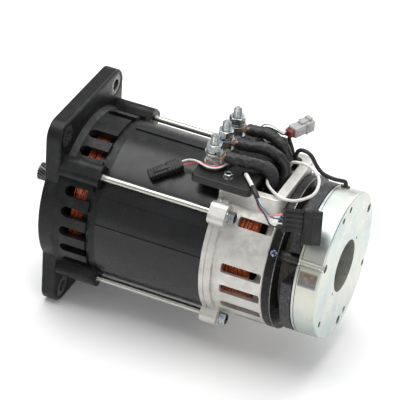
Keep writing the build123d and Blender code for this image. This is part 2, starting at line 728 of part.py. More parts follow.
def hub_splines(x0, x1):
    """External spline of the brake hub."""
    blank = disc(x0, x1, HUB_TIP_R)
    gaps = []
    for index in range(HUB_TEETH):
        gap = block(x0 - 1, x1 + 1, -1.7, 1.7, HUB_ROOT_R, HUB_TIP_R + 2)
        gaps.append(turned(gap, 360 / HUB_TEETH * index))
    return blank - gaps


def brake_hub():
    """Splined hub that carries the friction disc."""
    return hub_splines(HUB_START, HUB_END) - disc(HUB_START - 1, HUB_END + 1, BRAKE_SEAT_R)


def friction_disc():
    """Lined brake disc that turns with the hub."""
    return disc(DISC_START, DISC_END, DISC_R) - hub_splines(DISC_START - 1, DISC_END + 1)


def shaft_circlip():
    """External circlip that keeps the hub on the shaft."""
    clip = ring(HUB_END, HUB_END + 1.3, 11.5, 8.3)
    return clip - block(HUB_END - 1, HUB_END + 3, -3, 3, -14, -6)


def armature_notch(first, last):
    """Sector cutter between two clock angles, open at the rim."""
    corners = [clock(first, NOTCH_ROOT_R), clock((first + last) / 2, NOTCH_ROOT_R + 1.2)]
    corners += [clock(last, NOTCH_ROOT_R), clock(last, 90), clock((first + last) / 2, 90), clock(first, 90)]
    points = [(ARMATURE_START - 1, y, z) for y, z in corners]
    face = make_face(Polyline(*points, close=True))
    return extrude(face, amount=ARMATURE_END - ARMATURE_START + 2, dir=(1, 0, 0))


def armature_plate():
    """Plate that the springs press on the friction disc, notched for the sleeves."""
    plate = ring(ARMATURE_START, ARMATURE_END, BRAKE_R, ARMATURE_BORE_R)
    for turn in (0, 120, 240):
        plate -= armature_notch(NOTCH_FROM + turn, NOTCH_TO + turn)
    return plate


def brake_magnet_body():
    """Magnet housing with coil groove, spring pockets and screw holes."""
    body = disc(MAGNET_START, MAGNET_END, BRAKE_R)
    body = fillet(body.edges().sort_by(Axis.X)[-1], 1.6)
    body = chamfer(body.edges().sort_by(Axis.X)[0], 0.6)
    body -= disc(MAGNET_START - 1, MAGNET_END + 1, MAGNET_BORE_R)
    body -= ring(MAGNET_START - 1, COIL_END, COIL_R1, COIL_R0)
    body -= ring(252.2, 252.9, BRAKE_R + 2, BRAKE_R - 0.5)
    for angle in SPRING_ANGLES:
        body -= rod(MAGNET_START - 1, 261, SPRING_R, angle, BRAKE_SCREW_CIRCLE_R)
    for angle in BRAKE_SCREW_ANGLES:
        body -= rod(MAGNET_START - 1, MAGNET_END + 1, BRAKE_SCREW_R + 0.25, angle, BRAKE_SCREW_CIRCLE_R)
        body -= rod(262, MAGNET_END + 1, BRAKE_SCREW_HEAD_R + 0.2, angle, BRAKE_SCREW_CIRCLE_R)
        body -= rod(MAGNET_START - 1, MAGNET_END + 1, CHANNEL_R, angle, BRAKE_R + 0.4)
    for angle, circle, radius in JACKING_HOLES:
        body -= rod(264, MAGNET_END + 1, radius, angle, circle)
    for angle, circle, radius in SMALL_HOLES:
        body -= rod(268, MAGNET_END + 1, radius, angle, circle)
    body -= lead_hole(COIL_R1 - 2, BRAKE_R + 5, 2.9)
    return body


def lead_hole(r0, r1, radius):
    """Radial cylinder where the brake lead enters the magnet body."""
    return turned(post(BRAKE_LEAD_X, 0, r0, r1, radius), BRAKE_LEAD_ANGLE)


def brake_lead_grommet():
    """Stepped rubber grommet in the lead hole."""
    stem = lead_hole(COIL_R1 + 1, BRAKE_R + 0.4, 2.9)
    collar = lead_hole(BRAKE_R + 0.4, BRAKE_R + 1.5, 4.3)
    return stem + collar


def brake_coil():
    """Potted coil in the magnet body's groove."""
    return ring(MAGNET_START + 0.4, COIL_END, COIL_R1, COIL_R0)


def brake_springs():
    """Compressed thrust springs, as sleeves that fill their pockets."""
    springs = []
    for angle in SPRING_ANGLES:
        sleeve = rod(MAGNET_START, 261, SPRING_R, angle, BRAKE_SCREW_CIRCLE_R)
        springs.append(sleeve - rod(240, 270, SPRING_R - 1.2, angle, BRAKE_SCREW_CIRCLE_R))
    return Compound(children=springs)


def brake_mounting_screws():
    """Three socket screws that hold the magnet body on the rear bell."""
    screws = []
    for angle in BRAKE_SCREW_ANGLES:
        shank = rod(213.5, 262, BRAKE_SCREW_R, angle, BRAKE_SCREW_CIRCLE_R)
        head = rod(262, 267, BRAKE_SCREW_HEAD_R, angle, BRAKE_SCREW_CIRCLE_R)
        y, z = clock(angle, BRAKE_SCREW_CIRCLE_R)
        socket = Pos(264.2, y, z) * Rot(0, 90, 0) * hexagon(4.0, 10)
        screws.append(shank + head - socket)
    return Compound(children=screws)


def brake_spacer_sleeves():
    """Sleeves that hold the magnet body off the friction plate and guide the armature."""
    sleeves = []
    for angle in BRAKE_SCREW_ANGLES:
        sleeve = rod(BRAKE_PLATE_END, MAGNET_START, BRAKE_SLEEVE_R, angle, BRAKE_SCREW_CIRCLE_R)
        sleeves.append(sleeve - rod(220, 260, BRAKE_SCREW_R, angle, BRAKE_SCREW_CIRCLE_R))
    return Compound(children=sleeves)


# Connectors


def sensor_plug_place():
    """Frame of the black connector: X along it, Z up."""
    turn = Rot(0, 0, SENSOR_PLUG_HEADING) * Rot(0, SENSOR_PLUG_PITCH, 0) * Rot(SENSOR_PLUG_TILT, 0, 0)
    return Pos(*SENSOR_PLUG_ORIGIN) * turn


def sensor_connector():
    """Ribbed half of the black speed-sensor connector."""
    half_width = SENSOR_PLUG_WIDTH / 2
    half_height = SENSOR_PLUG_HEIGHT / 2
    body = block(0, SENSOR_PLUG_LENGTH, -half_width, half_width, -half_height, half_height)
    body = fillet(body.edges().filter_by(Axis.X), 1.5)
    grooves = []
    for index in range(4):
        z = half_height - 3.6 - index * 4.2
        grooves.append(block(2.5, SENSOR_PLUG_LENGTH, -half_width - 1, -half_width + 0.9, z - 0.6, z + 0.6))
    return sensor_plug_place() * (body - grooves)


def sensor_connector_cap():
    """Taller mating half with its latch."""
    half_width = SENSOR_PLUG_WIDTH / 2
    top = SENSOR_PLUG_HEIGHT / 2
    start = SENSOR_PLUG_LENGTH
    end = start + SENSOR_CAP_LENGTH
    body = block(start, end, -half_width, half_width, top - SENSOR_CAP_HEIGHT, top)
    body = fillet(body.edges().filter_by(Axis.X), 1.5)
    return sensor_plug_place() * body


def temp_connector():
    """Small black in-line connector that lies on the stator."""
    x, y, z = TEMP_PLUG_CENTRE
    tilt = Vector(0, y, z).normalized()
    along = (Vector(1, 1, 0) - tilt * Vector(1, 1, 0).dot(tilt)).normalized()
    place = Plane(origin=(x, y, z), x_dir=along, z_dir=tilt)
    body = Box(TEMP_PLUG_LENGTH, TEMP_PLUG_WIDTH, TEMP_PLUG_HEIGHT)
    return place * fillet(body.edges().filter_by(Axis.X), 2.0)


def signal_plug_place():
    """Frame of the grey connector: X from its wire side to its nose."""
    return Pos(*SIGNAL_PLUG_ORIGIN) * Rot(0, 0, SIGNAL_PLUG_HEADING)


def signal_connector():
    """Grey four-way connector: wire-side body, flange and nose."""
    half_width = SIGNAL_PLUG_WIDTH / 2
    half_height = SIGNAL_PLUG_HEIGHT / 2
    body = block(0, SIGNAL_BODY_LENGTH, -half_width, half_width, -half_height, half_height)
    body = fillet(body.edges().filter_by(Axis.X), 1.4)
    nose = block(SIGNAL_BODY_LENGTH, SIGNAL_PLUG_LENGTH, -half_width - 0.8, half_width + 0.8,
                 -half_height - 0.8, half_height + 0.8)
    nose = fillet(nose.edges().filter_by(Axis.X), 1.4)
    latch = block(SIGNAL_BODY_LENGTH - 4, SIGNAL_PLUG_LENGTH - 1.5, -2.6, 2.6,
                  half_height - 1, half_height + 3.6)
    return signal_plug_place() * (body + nose + latch)


def signal_connector_wedge():
    """Coloured wire-side lock of the grey connector."""
    wedge = block(-SIGNAL_WEDGE_LENGTH, 0, -4, 4, -3.2, 3.2)
    return signal_plug_place() * fillet(wedge.edges().filter_by(Axis.X), 0.8)


def fixed_parts():
    """Every node that stays with the housing."""
    return {
        "drive_end_bell": drive_end_bell(),
        "shaft_seal": shaft_seal(),
        "front_bearing_outer_ring": bearing_outer_ring(FRONT_BEARING),
        "front_bearing_circlip": front_bearing_circlip(),
        "stator_core": stator_core(),
        "stator_cleats": stator_cleats(),
        "stator_winding": stator_winding(),
        "tie_rods": tie_rods(),
        "tie_rod_washers": tie_rod_washers(),
        "rear_end_bell": rear_end_bell(),
        "rear_bearing_outer_ring": bearing_outer_ring(REAR_BEARING),
        "wave_spring": wave_spring(),
        "speed_sensor": speed_sensor(),
        "terminal_block": terminal_block(),
        "terminal_block_screws": terminal_block_screws(),
        "terminal_studs": terminal_studs(),
        "terminal_nuts": terminal_nuts(),
        "terminal_washers": stud_washers((LOWER_WASHER_Z, UPPER_WASHER_Z),
                                         STUD_WASHER_R, STUD_WASHER_THICK),
        "terminal_spring_washers": stud_washers((SPRING_WASHER_Z,),
                                                SPRING_WASHER_R, SPRING_WASHER_THICK),
        "cable_lugs": cable_lugs(),
        "brake_flange_plate": brake_flange_plate(),
        "brake_magnet_body": brake_magnet_body(),
        "brake_coil": brake_coil(),
        "brake_springs": brake_springs(),
        "brake_mounting_screws": brake_mounting_screws(),
        "brake_spacer_sleeves": brake_spacer_sleeves(),
        "brake_lead_grommet": brake_lead_grommet(),
        "sensor_connector": sensor_connector(),
        "sensor_connector_cap": sensor_connector_cap(),
        "temp_connector": temp_connector(),
        "signal_connector": signal_connector(),
        "signal_connector_wedge": signal_connector_wedge(),
    }


def wiring():
    """Every lead and wire, one node each."""
    routes = {
        "phase_lead_u": (PHASE_LEAD_U, PHASE_LEAD_D),
        "phase_lead_v": (PHASE_LEAD_V, PHASE_LEAD_D),
        "phase_lead_w": (PHASE_LEAD_W, PHASE_LEAD_D),
        "brake_lead": (BRAKE_LEAD, BRAKE_LEAD_D),
        "white_loop_wire": (LOOP_WIRE, LOOP_WIRE_D),
        "sensor_lead": (SENSOR_LEAD, SENSOR_LEAD_D),
        "signal_lead": (SIGNAL_LEAD, SIGNAL_LEAD_D),
        "temp_wire_white": (TEMP_WIRE_WHITE, TEMP_WIRE_WHITE_D),
        "temp_wire_red": (TEMP_WIRE_RED, TEMP_WIRE_RED_D),
    }
    for colour, route in SENSOR_WIRES.items():
        routes["sensor_wire_" + colour] = (route, SENSOR_WIRE_D)
    for colour, route in SIGNAL_WIRES.items():
        routes["signal_wire_" + colour] = (route, SIGNAL_WIRE_D)
    return {name: cord(name, route, diameter) for name, (route, diameter) in routes.items()}


def moving_parts():
    """Every node that turns or slides."""
    return {
        "motor_shaft": motor_shaft(),
        "rotor_core": rotor_core(),
        "rotor_cage": rotor_cage(),
        "front_bearing_inner_ring": bearing_inner_ring(FRONT_BEARING),
        "rear_bearing_inner_ring": bearing_inner_ring(REAR_BEARING),
        "encoder_ring": encoder_ring(),
        "brake_hub": brake_hub(),
        "friction_disc": friction_disc(),
        "shaft_circlip": shaft_circlip(),
        "front_bearing_balls": bearing_balls(FRONT_BEARING),
        "rear_bearing_balls": bearing_balls(REAR_BEARING),
        "armature_plate": armature_plate(),
    }


os.makedirs("parts", exist_ok=True)
for node, shape in {**fixed_parts(), **wiring(), **moving_parts()}.items():
    export_step(shape, f"parts/{node}.step")
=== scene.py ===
import math
import random

import bmesh
import bpy
from mathutils import Matrix, Vector, noise


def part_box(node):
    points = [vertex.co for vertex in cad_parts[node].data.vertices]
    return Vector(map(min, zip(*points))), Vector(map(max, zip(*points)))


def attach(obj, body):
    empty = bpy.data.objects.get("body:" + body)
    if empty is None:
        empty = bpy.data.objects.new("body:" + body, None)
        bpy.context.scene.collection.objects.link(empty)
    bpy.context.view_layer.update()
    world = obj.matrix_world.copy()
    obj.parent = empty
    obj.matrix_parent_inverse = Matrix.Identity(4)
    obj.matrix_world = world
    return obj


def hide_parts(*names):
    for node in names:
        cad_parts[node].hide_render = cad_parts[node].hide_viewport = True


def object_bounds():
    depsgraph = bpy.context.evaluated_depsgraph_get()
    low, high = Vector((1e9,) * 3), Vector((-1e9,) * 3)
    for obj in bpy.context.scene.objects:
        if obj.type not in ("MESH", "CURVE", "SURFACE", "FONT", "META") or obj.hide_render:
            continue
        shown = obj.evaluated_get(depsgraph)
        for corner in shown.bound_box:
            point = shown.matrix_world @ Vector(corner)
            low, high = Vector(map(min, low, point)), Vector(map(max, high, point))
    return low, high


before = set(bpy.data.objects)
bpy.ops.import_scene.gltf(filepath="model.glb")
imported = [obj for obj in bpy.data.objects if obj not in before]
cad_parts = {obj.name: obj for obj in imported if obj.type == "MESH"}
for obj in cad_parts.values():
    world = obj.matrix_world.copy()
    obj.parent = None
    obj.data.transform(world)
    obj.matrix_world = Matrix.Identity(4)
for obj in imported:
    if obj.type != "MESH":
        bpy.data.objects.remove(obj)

# Looks of a three-phase drive motor with a spring-applied brake.
# Metres in the CAD row frame: +X from the flange to the brake, +Z up, -Y towards the camera.
MM = 0.001
CAD_LOW, CAD_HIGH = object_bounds()
UP = Vector((0, 0, 1))

# Camera: a long lens above the shaft, turned towards the brake; angles in degrees, lens in mm
VIEW_AZIMUTH = 21.8
VIEW_ELEVATION = 34.86
VIEW_ROLL = 4.39
VIEW_DISTANCE = 2.283
VIEW_AIM = Vector((0.11706, 0.02702, 0.00229))
LENS = 219.4
SENSOR_WIDTH = 36

# Studio: soft square lamps by name, place, side and power, in a white world over a pale floor
LAMPS = (
    ("key_lamp", (-0.15, 0.0, 1.8), 1.8, 34.0),
    ("side_lamp", (1.5, -1.1, 0.7), 1.0, 6.0),
    ("back_lamp", (0.4, 1.7, 1.2), 1.5, 15.0),
)
LAMP_AIM = Vector((0.12, 0, 0))
SKY_STRENGTH = 0.48
FLOOR_HALF_SIZE = 30.0
FLOOR_GAP = 0.0003


def mm(*values):
    """A point given in millimetres, in metres."""
    return Vector(values) * MM


def put(name, data):
    """A new object in the scene."""
    made = bpy.data.objects.new(name, data)
    bpy.context.scene.collection.objects.link(made)
    return made


# ---- stage and camera


def make_camera():
    """Camera at its azimuth, elevation and small roll, aimed at a point inside the motor."""
    azimuth, elevation, roll = (math.radians(a) for a in (VIEW_AZIMUTH, VIEW_ELEVATION, VIEW_ROLL))
    back = Vector((math.sin(azimuth) * math.cos(elevation),
                   -math.cos(azimuth) * math.cos(elevation), math.sin(elevation)))
    level = Vector((math.cos(azimuth), math.sin(azimuth), 0))
    upright = back.cross(level)
    right = level * math.cos(roll) + upright * math.sin(roll)
    up = upright * math.cos(roll) - level * math.sin(roll)
    data = bpy.data.cameras.new("camera")
    data.sensor_width = SENSOR_WIDTH
    data.lens = LENS
    data.clip_start = 0.05
    data.clip_end = 50
    camera = put("camera", data)
    turn = Matrix((right, up, back)).transposed().to_4x4()
    camera.matrix_world = Matrix.Translation(VIEW_AIM + back * VIEW_DISTANCE) @ turn
    bpy.context.scene.camera = camera


def make_stage():
    """Pale floor just under the lowest point, white surroundings and the lamps."""
    bpy.context.scene.view_settings.view_transform = "Standard"
    world = bpy.data.worlds.new("studio")
    world.use_nodes = True
    sky = world.node_tree.nodes["Background"]
    sky.inputs["Color"].default_value = (1, 1, 1, 1)
    sky.inputs["Strength"].default_value = SKY_STRENGTH
    bpy.context.scene.world = world
    mesh = bpy.data.meshes.new("floor")
    size = FLOOR_HALF_SIZE
    level = CAD_LOW.z - FLOOR_GAP
    corners = [(-size, -size, level), (size, -size, level), (size, size, level), (-size, size, level)]
    mesh.from_pydata(corners, [], [(0, 1, 2, 3)])
    floor = put("floor", mesh)
    paint = Finish("floor_paper", (0.97, 0.97, 0.97), 0.9, Specular_IOR_Level=0.2)
    paint.tones([(0.3, (0.965, 0.965, 0.965)), (0.7, (0.975, 0.975, 0.975))], size=200)
    mesh.materials.append(paint.material)
    for name, place, side, power in LAMPS:
        data = bpy.data.lights.new(name, "AREA")
        data.shape = "SQUARE"
        data.size = side
        data.energy = power
        lamp = put(name, data)
        lamp.location = place
        aim = LAMP_AIM - Vector(place)
        lamp.rotation_mode = "QUATERNION"
        lamp.rotation_quaternion = aim.to_track_quat("-Z", "Y")


# ---- materials


class Finish:
    """A Principled material, and the patterns that vary its colour, roughness and surface."""

    def __init__(self, name, colour, roughness, metallic=0.0, **sockets):
        self.name = name
        self.material = bpy.data.materials.new(name)
        self.material.use_nodes = True
        self.tree = self.material.node_tree
        self.shader = self.tree.nodes["Principled BSDF"]
        self.shader.inputs["Base Color"].default_value = (*colour, 1)
        self.shader.inputs["Roughness"].default_value = roughness
        self.shader.inputs["Metallic"].default_value = metallic
        for socket, value in sockets.items():
            self.shader.inputs[socket.replace("_", " ")].default_value = value
        self.place = self.add("ShaderNodeTexCoord").outputs["Object"]
        self.colour = None
        self.relief = None

    def add(self, kind, **settings):
        """A node with its attributes and input values set."""
        made = self.tree.nodes.new(kind)
        for key, value in settings.items():
            if hasattr(made, key):
                setattr(made, key, value)
            else:
                made.inputs[key].default_value = value
        return made

    def link(self, source, target):
        self.tree.links.new(source, target)

    def stretched(self, stretch):
        """Object coordinates, stretched along each axis."""
        if stretch == (1, 1, 1):
            return self.place
        mapping = self.add("ShaderNodeMapping", Scale=stretch)
        self.link(self.place, mapping.inputs["Vector"])
        return mapping.outputs["Vector"]

    def noise(self, size, detail, stretch=(1, 1, 1)):
        """Cloudy pattern with features about size millimetres across."""
        made = self.add("ShaderNodeTexNoise", Detail=detail, Scale=1 / (size * MM))
        self.link(self.stretched(stretch), made.inputs["Vector"])
        return made.outputs["Fac"]

    def ramp(self, source, stops):
        """Colours along a pattern."""
        made = self.add("ShaderNodeValToRGB")
        band = made.color_ramp
        while len(band.elements) < len(stops):
            band.elements.new(0.5)
        for element, (position, colour) in zip(band.elements, stops):
            element.position = position
            element.color = (*colour, 1)
        self.link(source, made.inputs["Fac"])
        return made.outputs["Color"]

    def tones(self, stops, size, detail=3.0, stretch=(1, 1, 1), source=None):
        """Base colour that wanders between tones."""
        pattern = self.noise(size, detail, stretch) if source is None else source
        self.colour = self.ramp(pattern, stops)
        self.link(self.colour, self.shader.inputs["Base Color"])
        return self

    def specks(self, colour, size, low, high):
        """Patches of another colour where a pattern passes from low to high."""
        mask = self.level(self.noise(size, 4.0), low, high, 0.0, 1.0)
        mixed = self.add("ShaderNodeMix", data_type="RGBA")
        self.link(mask, mixed.inputs[0])
        self.link(self.colour, mixed.inputs[6])
        mixed.inputs[7].default_value = (*colour, 1)
        self.colour = mixed.outputs[2]
        self.link(self.colour, self.shader.inputs["Base Color"])
        return self

    def level(self, source, low, high, bottom, top):
        """A pattern's range from low to high spread over bottom to top."""
        made = self.add("ShaderNodeMapRange")
        for key, value in zip(("From Min", "From Max", "To Min", "To Max"), (low, high, bottom, top)):
            made.inputs[key].default_value = value
        self.link(source, made.inputs["Value"])
        return made.outputs["Result"]

    def gloss(self, low, high, size, detail=3.0, stretch=(1, 1, 1)):
        """Roughness that varies over the surface."""
        spread = self.level(self.noise(size, detail, stretch), 0.3, 0.7, low, high)
        self.link(spread, self.shader.inputs["Roughness"])
        return self

    def grain(self, size, height, strength, detail=2, stretch=(1, 1, 1)):
        """Cloudy relief with features about size millimetres across."""
        return self.bump(self.noise(size, detail, stretch), height, strength)

    def ridges(self, pitch, height, strength, axis="X", rings=False, wobble=0.0):
        """Relief of parallel lines or concentric rings, pitch millimetres apart."""
        made = self.add("ShaderNodeTexWave", wave_type="RINGS" if rings else "BANDS", rings_direction=axis,
                        bands_direction=axis, Scale=math.pi / 10 / (pitch * MM), Distortion=wobble)
        self.link(self.place, made.inputs["Vector"])
        return self.bump(made.outputs["Fac"], height, strength)

    def pebbles(self, size, height, strength):
        """Relief of cells about size millimetres across."""
        made = self.add("ShaderNodeTexVoronoi", Scale=1 / (size * MM))
        self.link(self.place, made.inputs["Vector"])
        return self.bump(made.outputs["Distance"], height, strength)

    def bump(self, pattern, height, strength):
        """Relief of a pattern, height millimetres deep, on top of what there is."""
        made = self.add("ShaderNodeBump", Strength=strength, Distance=height * MM)
        self.link(pattern, made.inputs["Height"])
        if self.relief is not None:
            self.link(self.relief, made.inputs["Normal"])
        self.relief = made.outputs["Normal"]
        self.link(self.relief, self.shader.inputs["Normal"])
        return self


def grey(value):
    return (value, value, value)


def moulded(name, dark, light, rough_low, rough_high):
    """Moulded plastic: fine grain, faint flow tones, slight gloss changes."""
    plastic = Finish(name, light, rough_high, Specular_IOR_Level=0.4).tones([(0.3, dark), (0.7, light)], 7, 3)
    return plastic.gloss(rough_low, rough_high, 4, 4).grain(0.35, 0.02, 0.6).grain(5, 0.05, 0.4)


def insulation(name, dark, light, rough_low, rough_high):
    """Drawn or shrunk insulation on a wire, with soft unevenness and scuffs."""
    skin = Finish(name, light, rough_high).tones([(0.28, dark), (0.62, light)], 6, 4)
    return skin.gloss(rough_low, rough_high, 3, 4).grain(1.8, 0.02, 0.6, 3)


def blank_label():
    """A label with nothing printed on it: a brown band that fades to grey round the body."""
    film = Finish("blank_label", (0.3, 0.25, 0.2), 0.35)
    split = film.add("ShaderNodeSeparateXYZ")
    film.link(film.place, split.inputs["Vector"])
    film.tones([(0.0, (0.40, 0.45, 0.43)), (0.18, (0.13, 0.14, 0.155)), (0.5, (0.15, 0.14, 0.135)),
                (0.62, (0.17, 0.12, 0.085)), (0.85, (0.13, 0.095, 0.07)), (1.0, (0.36, 0.33, 0.27))],
               1, source=film.level(split.outputs["Z"], 0.0145, 0.0295, 0, 1))
    return film.specks((0.30, 0.24, 0.17), 4, 0.5, 0.75).gloss(0.3, 0.45, 5).grain(2, 0.02, 0.4)


FINISHES = (
    Finish("black_casting", (0.012, 0.012, 0.013), 0.4, Specular_IOR_Level=0.24)
        .tones([(0.3, (0.005, 0.0053, 0.006)), (0.55, (0.009, 0.0093, 0.01)), (0.75, (0.018, 0.019, 0.02))],
               9)
        .specks((0.07, 0.07, 0.073), 1.1, 0.68, 0.76).gloss(0.28, 0.48, 5).grain(0.55, 0.05, 0.8)
        .grain(3.5, 0.12, 0.7),
    Finish("cast_aluminium", (0.58, 0.57, 0.54), 0.5, 0.75)
        .tones([(0.25, (0.47, 0.46, 0.43)), (0.5, (0.6, 0.59, 0.555)), (0.75, (0.68, 0.67, 0.635))], 14, 5)
        .specks((0.34, 0.33, 0.31), 0.8, 0.66, 0.74).gloss(0.36, 0.62, 4).grain(0.5, 0.045, 0.8)
        .grain(3.0, 0.1, 0.6),
    Finish("painted_laminations", (0.01, 0.01, 0.011), 0.36, Specular_IOR_Level=0.4)
        .tones([(0.3, (0.004, 0.0043, 0.005)), (0.6, (0.008, 0.0084, 0.0094)), (0.8, (0.014, 0.015, 0.016))],
               20, 4, (0.35, 1, 1))
        .specks((0.07, 0.07, 0.072), 1.6, 0.7, 0.8).gloss(0.22, 0.36, 12, 4).ridges(0.65, 0.012, 0.5)
        .grain(7, 0.1, 0.35),
    Finish("bare_laminations", (0.2, 0.2, 0.2), 0.45, 0.9)
        .tones([(0.3, grey(0.13)), (0.7, grey(0.26))], 4, 4, (3, 1, 1))
        .gloss(0.35, 0.55, 3).ridges(0.65, 0.02, 0.7),
    Finish("copper_winding", (0.7, 0.22, 0.07), 0.34, 0.45, Coat_Weight=0.4, Coat_Roughness=0.2)
        .tones([(0.25, (0.3, 0.045, 0.015)), (0.5, (0.7, 0.15, 0.045)), (0.78, (0.95, 0.36, 0.15))], 2.6, 3)
        .specks((0.06, 0.02, 0.012), 2.0, 0.6, 0.7).gloss(0.22, 0.42, 2).grain(0.7, 0.05, 0.6),
    Finish("bright_zinc", (0.46, 0.48, 0.47), 0.3, 1.0)
        .tones([(0.28, (0.2, 0.28, 0.4)), (0.42, (0.42, 0.47, 0.47)), (0.6, (0.5, 0.52, 0.48)),
                (0.8, (0.58, 0.57, 0.48))], 5.0, 2)
        .gloss(0.24, 0.36, 2.5).grain(0.6, 0.008, 0.5),
    Finish("rod_zinc", (0.62, 0.62, 0.58), 0.3, 1.0)
        .tones([(0.25, (0.36, 0.365, 0.34)), (0.5, (0.5, 0.5, 0.455)), (0.8, (0.6, 0.59, 0.51))],
               9, 2, (0.12, 1, 1))
        .gloss(0.24, 0.34, 5, 3, (0.2, 1, 1)).grain(1.2, 0.006, 0.4, 2, (0.1, 1, 1)),
    Finish("turned_zinc", (0.55, 0.59, 0.55), 0.33, 0.85)
        .tones([(0.25, (0.42, 0.5, 0.49)), (0.42, (0.52, 0.58, 0.55)), (0.56, (0.6, 0.62, 0.56)),
                (0.75, (0.63, 0.61, 0.48))], 38, 2)
        .specks((0.38, 0.43, 0.42), 1.3, 0.7, 0.8).gloss(0.26, 0.42, 9, 4)
        .ridges(0.55, 0.006, 0.5, "X", True, 0.4).ridges(0.5, 0.006, 0.5).grain(1.2, 0.012, 0.5),
    Finish("phosphated_steel", (0.035, 0.035, 0.037), 0.5, 0.35)
        .tones([(0.3, (0.016, 0.016, 0.018)), (0.5, (0.038, 0.038, 0.041)), (0.7, (0.085, 0.085, 0.09))],
               2.2, 5)
        .specks((0.2, 0.2, 0.21), 1.1, 0.62, 0.74).gloss(0.38, 0.62, 3).grain(0.9, 0.05, 0.7, 3),
    Finish("painted_ring", (0.006, 0.006, 0.0065), 0.35, Specular_IOR_Level=0.24)
        .tones([(0.3, grey(0.003)), (0.55, grey(0.006)), (0.75, (0.018, 0.018, 0.019))], 5, 4)
        .specks((0.09, 0.09, 0.095), 1.2, 0.64, 0.76).gloss(0.22, 0.5, 4).grain(1.0, 0.04, 0.6, 3),
    Finish("pinion_steel", (0.16, 0.16, 0.155), 0.36, 1.0)
        .tones([(0.3, (0.09, 0.09, 0.088)), (0.6, (0.17, 0.17, 0.165)), (0.8, (0.26, 0.26, 0.25))], 4, 4)
        .gloss(0.28, 0.45, 2).grain(0.6, 0.01, 0.5),
    Finish("blue_zinc", (0.2, 0.24, 0.34), 0.28, 1.0)
        .tones([(0.3, (0.06, 0.09, 0.2)), (0.5, (0.22, 0.27, 0.4)), (0.7, (0.55, 0.6, 0.66))], 3.2, 2)
        .gloss(0.2, 0.34, 2).grain(0.6, 0.01, 0.5),
    Finish("spot_face_steel", (0.22, 0.22, 0.21), 0.4, 0.95)
        .tones([(0.3, (0.1, 0.1, 0.098)), (0.6, (0.24, 0.24, 0.23)), (0.8, (0.36, 0.36, 0.34))], 2.5, 4)
        .gloss(0.32, 0.5, 2).grain(0.6, 0.02, 0.5),
    Finish("black_steel", (0.04, 0.04, 0.042), 0.4, 0.7)
        .tones([(0.3, grey(0.025)), (0.7, grey(0.065))], 3, 4)
        .gloss(0.3, 0.5, 2).grain(0.7, 0.02, 0.6),
    Finish("ground_steel", (0.5, 0.5, 0.49), 0.28, 1.0)
        .tones([(0.3, (0.36, 0.37, 0.36)), (0.6, (0.5, 0.5, 0.48)), (0.8, (0.6, 0.6, 0.58))], 8, 4)
        .gloss(0.2, 0.4, 3).ridges(0.3, 0.004, 0.6, "X", False, 0.6)
        .ridges(0.35, 0.004, 0.6, "X", True, 0.6),
    Finish("bearing_steel", (0.66, 0.67, 0.68), 0.14, 1.0)
        .tones([(0.3, grey(0.58)), (0.7, grey(0.72))], 5, 3)
        .gloss(0.1, 0.22, 3).grain(1.5, 0.004, 0.5),
    Finish("spring_steel", (0.16, 0.165, 0.18), 0.34, 0.95)
        .tones([(0.3, (0.1, 0.105, 0.12)), (0.7, (0.22, 0.225, 0.24))], 4, 4)
        .gloss(0.26, 0.44, 2).grain(0.8, 0.015, 0.6),
    Finish("tarnished_copper", (0.31, 0.22, 0.17), 0.42, 0.8)
        .tones([(0.25, (0.15, 0.1, 0.08)), (0.5, (0.31, 0.21, 0.165)), (0.8, (0.46, 0.38, 0.31))], 3.5, 5)
        .gloss(0.3, 0.55, 2).grain(0.6, 0.03, 0.6, 3),
    moulded("black_plastic", grey(0.007), grey(0.014), 0.38, 0.52),
    moulded("grey_plastic", (0.33, 0.33, 0.325), (0.43, 0.43, 0.42), 0.38, 0.5),
    moulded("orange_plastic", (0.1, 0.014, 0.01), (0.19, 0.032, 0.022), 0.34, 0.5),
    Finish("coil_resin", (0.05, 0.022, 0.01), 0.25, 0.0, Coat_Weight=0.4)
        .tones([(0.3, (0.03, 0.012, 0.006)), (0.7, (0.09, 0.04, 0.018))], 6, 4)
        .gloss(0.15, 0.35, 4).grain(3, 0.12, 0.6, 3),
    Finish("friction_lining", (0.1, 0.085, 0.07), 0.8)
        .tones([(0.3, (0.06, 0.052, 0.045)), (0.6, (0.11, 0.095, 0.08)), (0.8, (0.2, 0.15, 0.1))], 1.6, 5)
        .specks((0.34, 0.27, 0.16), 0.8, 0.7, 0.76).gloss(0.65, 0.9, 2).grain(0.7, 0.08, 0.8, 3),
    insulation("seal_rubber", grey(0.014), grey(0.03), 0.5, 0.7),
    insulation("black_rubber", grey(0.006), grey(0.014), 0.32, 0.46),
    insulation("white_sleeve", (0.62, 0.6, 0.56), (0.78, 0.77, 0.74), 0.38, 0.52),
    insulation("red_sleeve", (0.5, 0.05, 0.05), (0.66, 0.09, 0.09), 0.35, 0.5),
    insulation("pink_sleeve", (0.7, 0.16, 0.2), (0.8, 0.27, 0.3), 0.35, 0.5),
    insulation("blue_sleeve", (0.02, 0.09, 0.16), (0.04, 0.16, 0.26), 0.35, 0.5),
    Finish("heat_shrink", (0.012, 0.012, 0.013), 0.4, Specular_IOR_Level=0.45)
        .tones([(0.3, grey(0.006)), (0.55, grey(0.013)), (0.75, grey(0.034))], 4, 5)
        .gloss(0.3, 0.55, 2.5, 4).grain(2.6, 0.16, 0.7, 3).grain(0.5, 0.02, 0.6),
    Finish("braided_sleeve", (0.022, 0.022, 0.024), 0.55)
        .tones([(0.3, grey(0.006)), (0.7, grey(0.03))], 1.2, 2)
        .gloss(0.45, 0.7, 1.5).ridges(1.3, 0.25, 0.9, "Z", False, 0.8).pebbles(0.9, 0.12, 0.8),
    blank_label(),
)
MATERIALS = {finish.name: finish.material for finish in FINISHES}
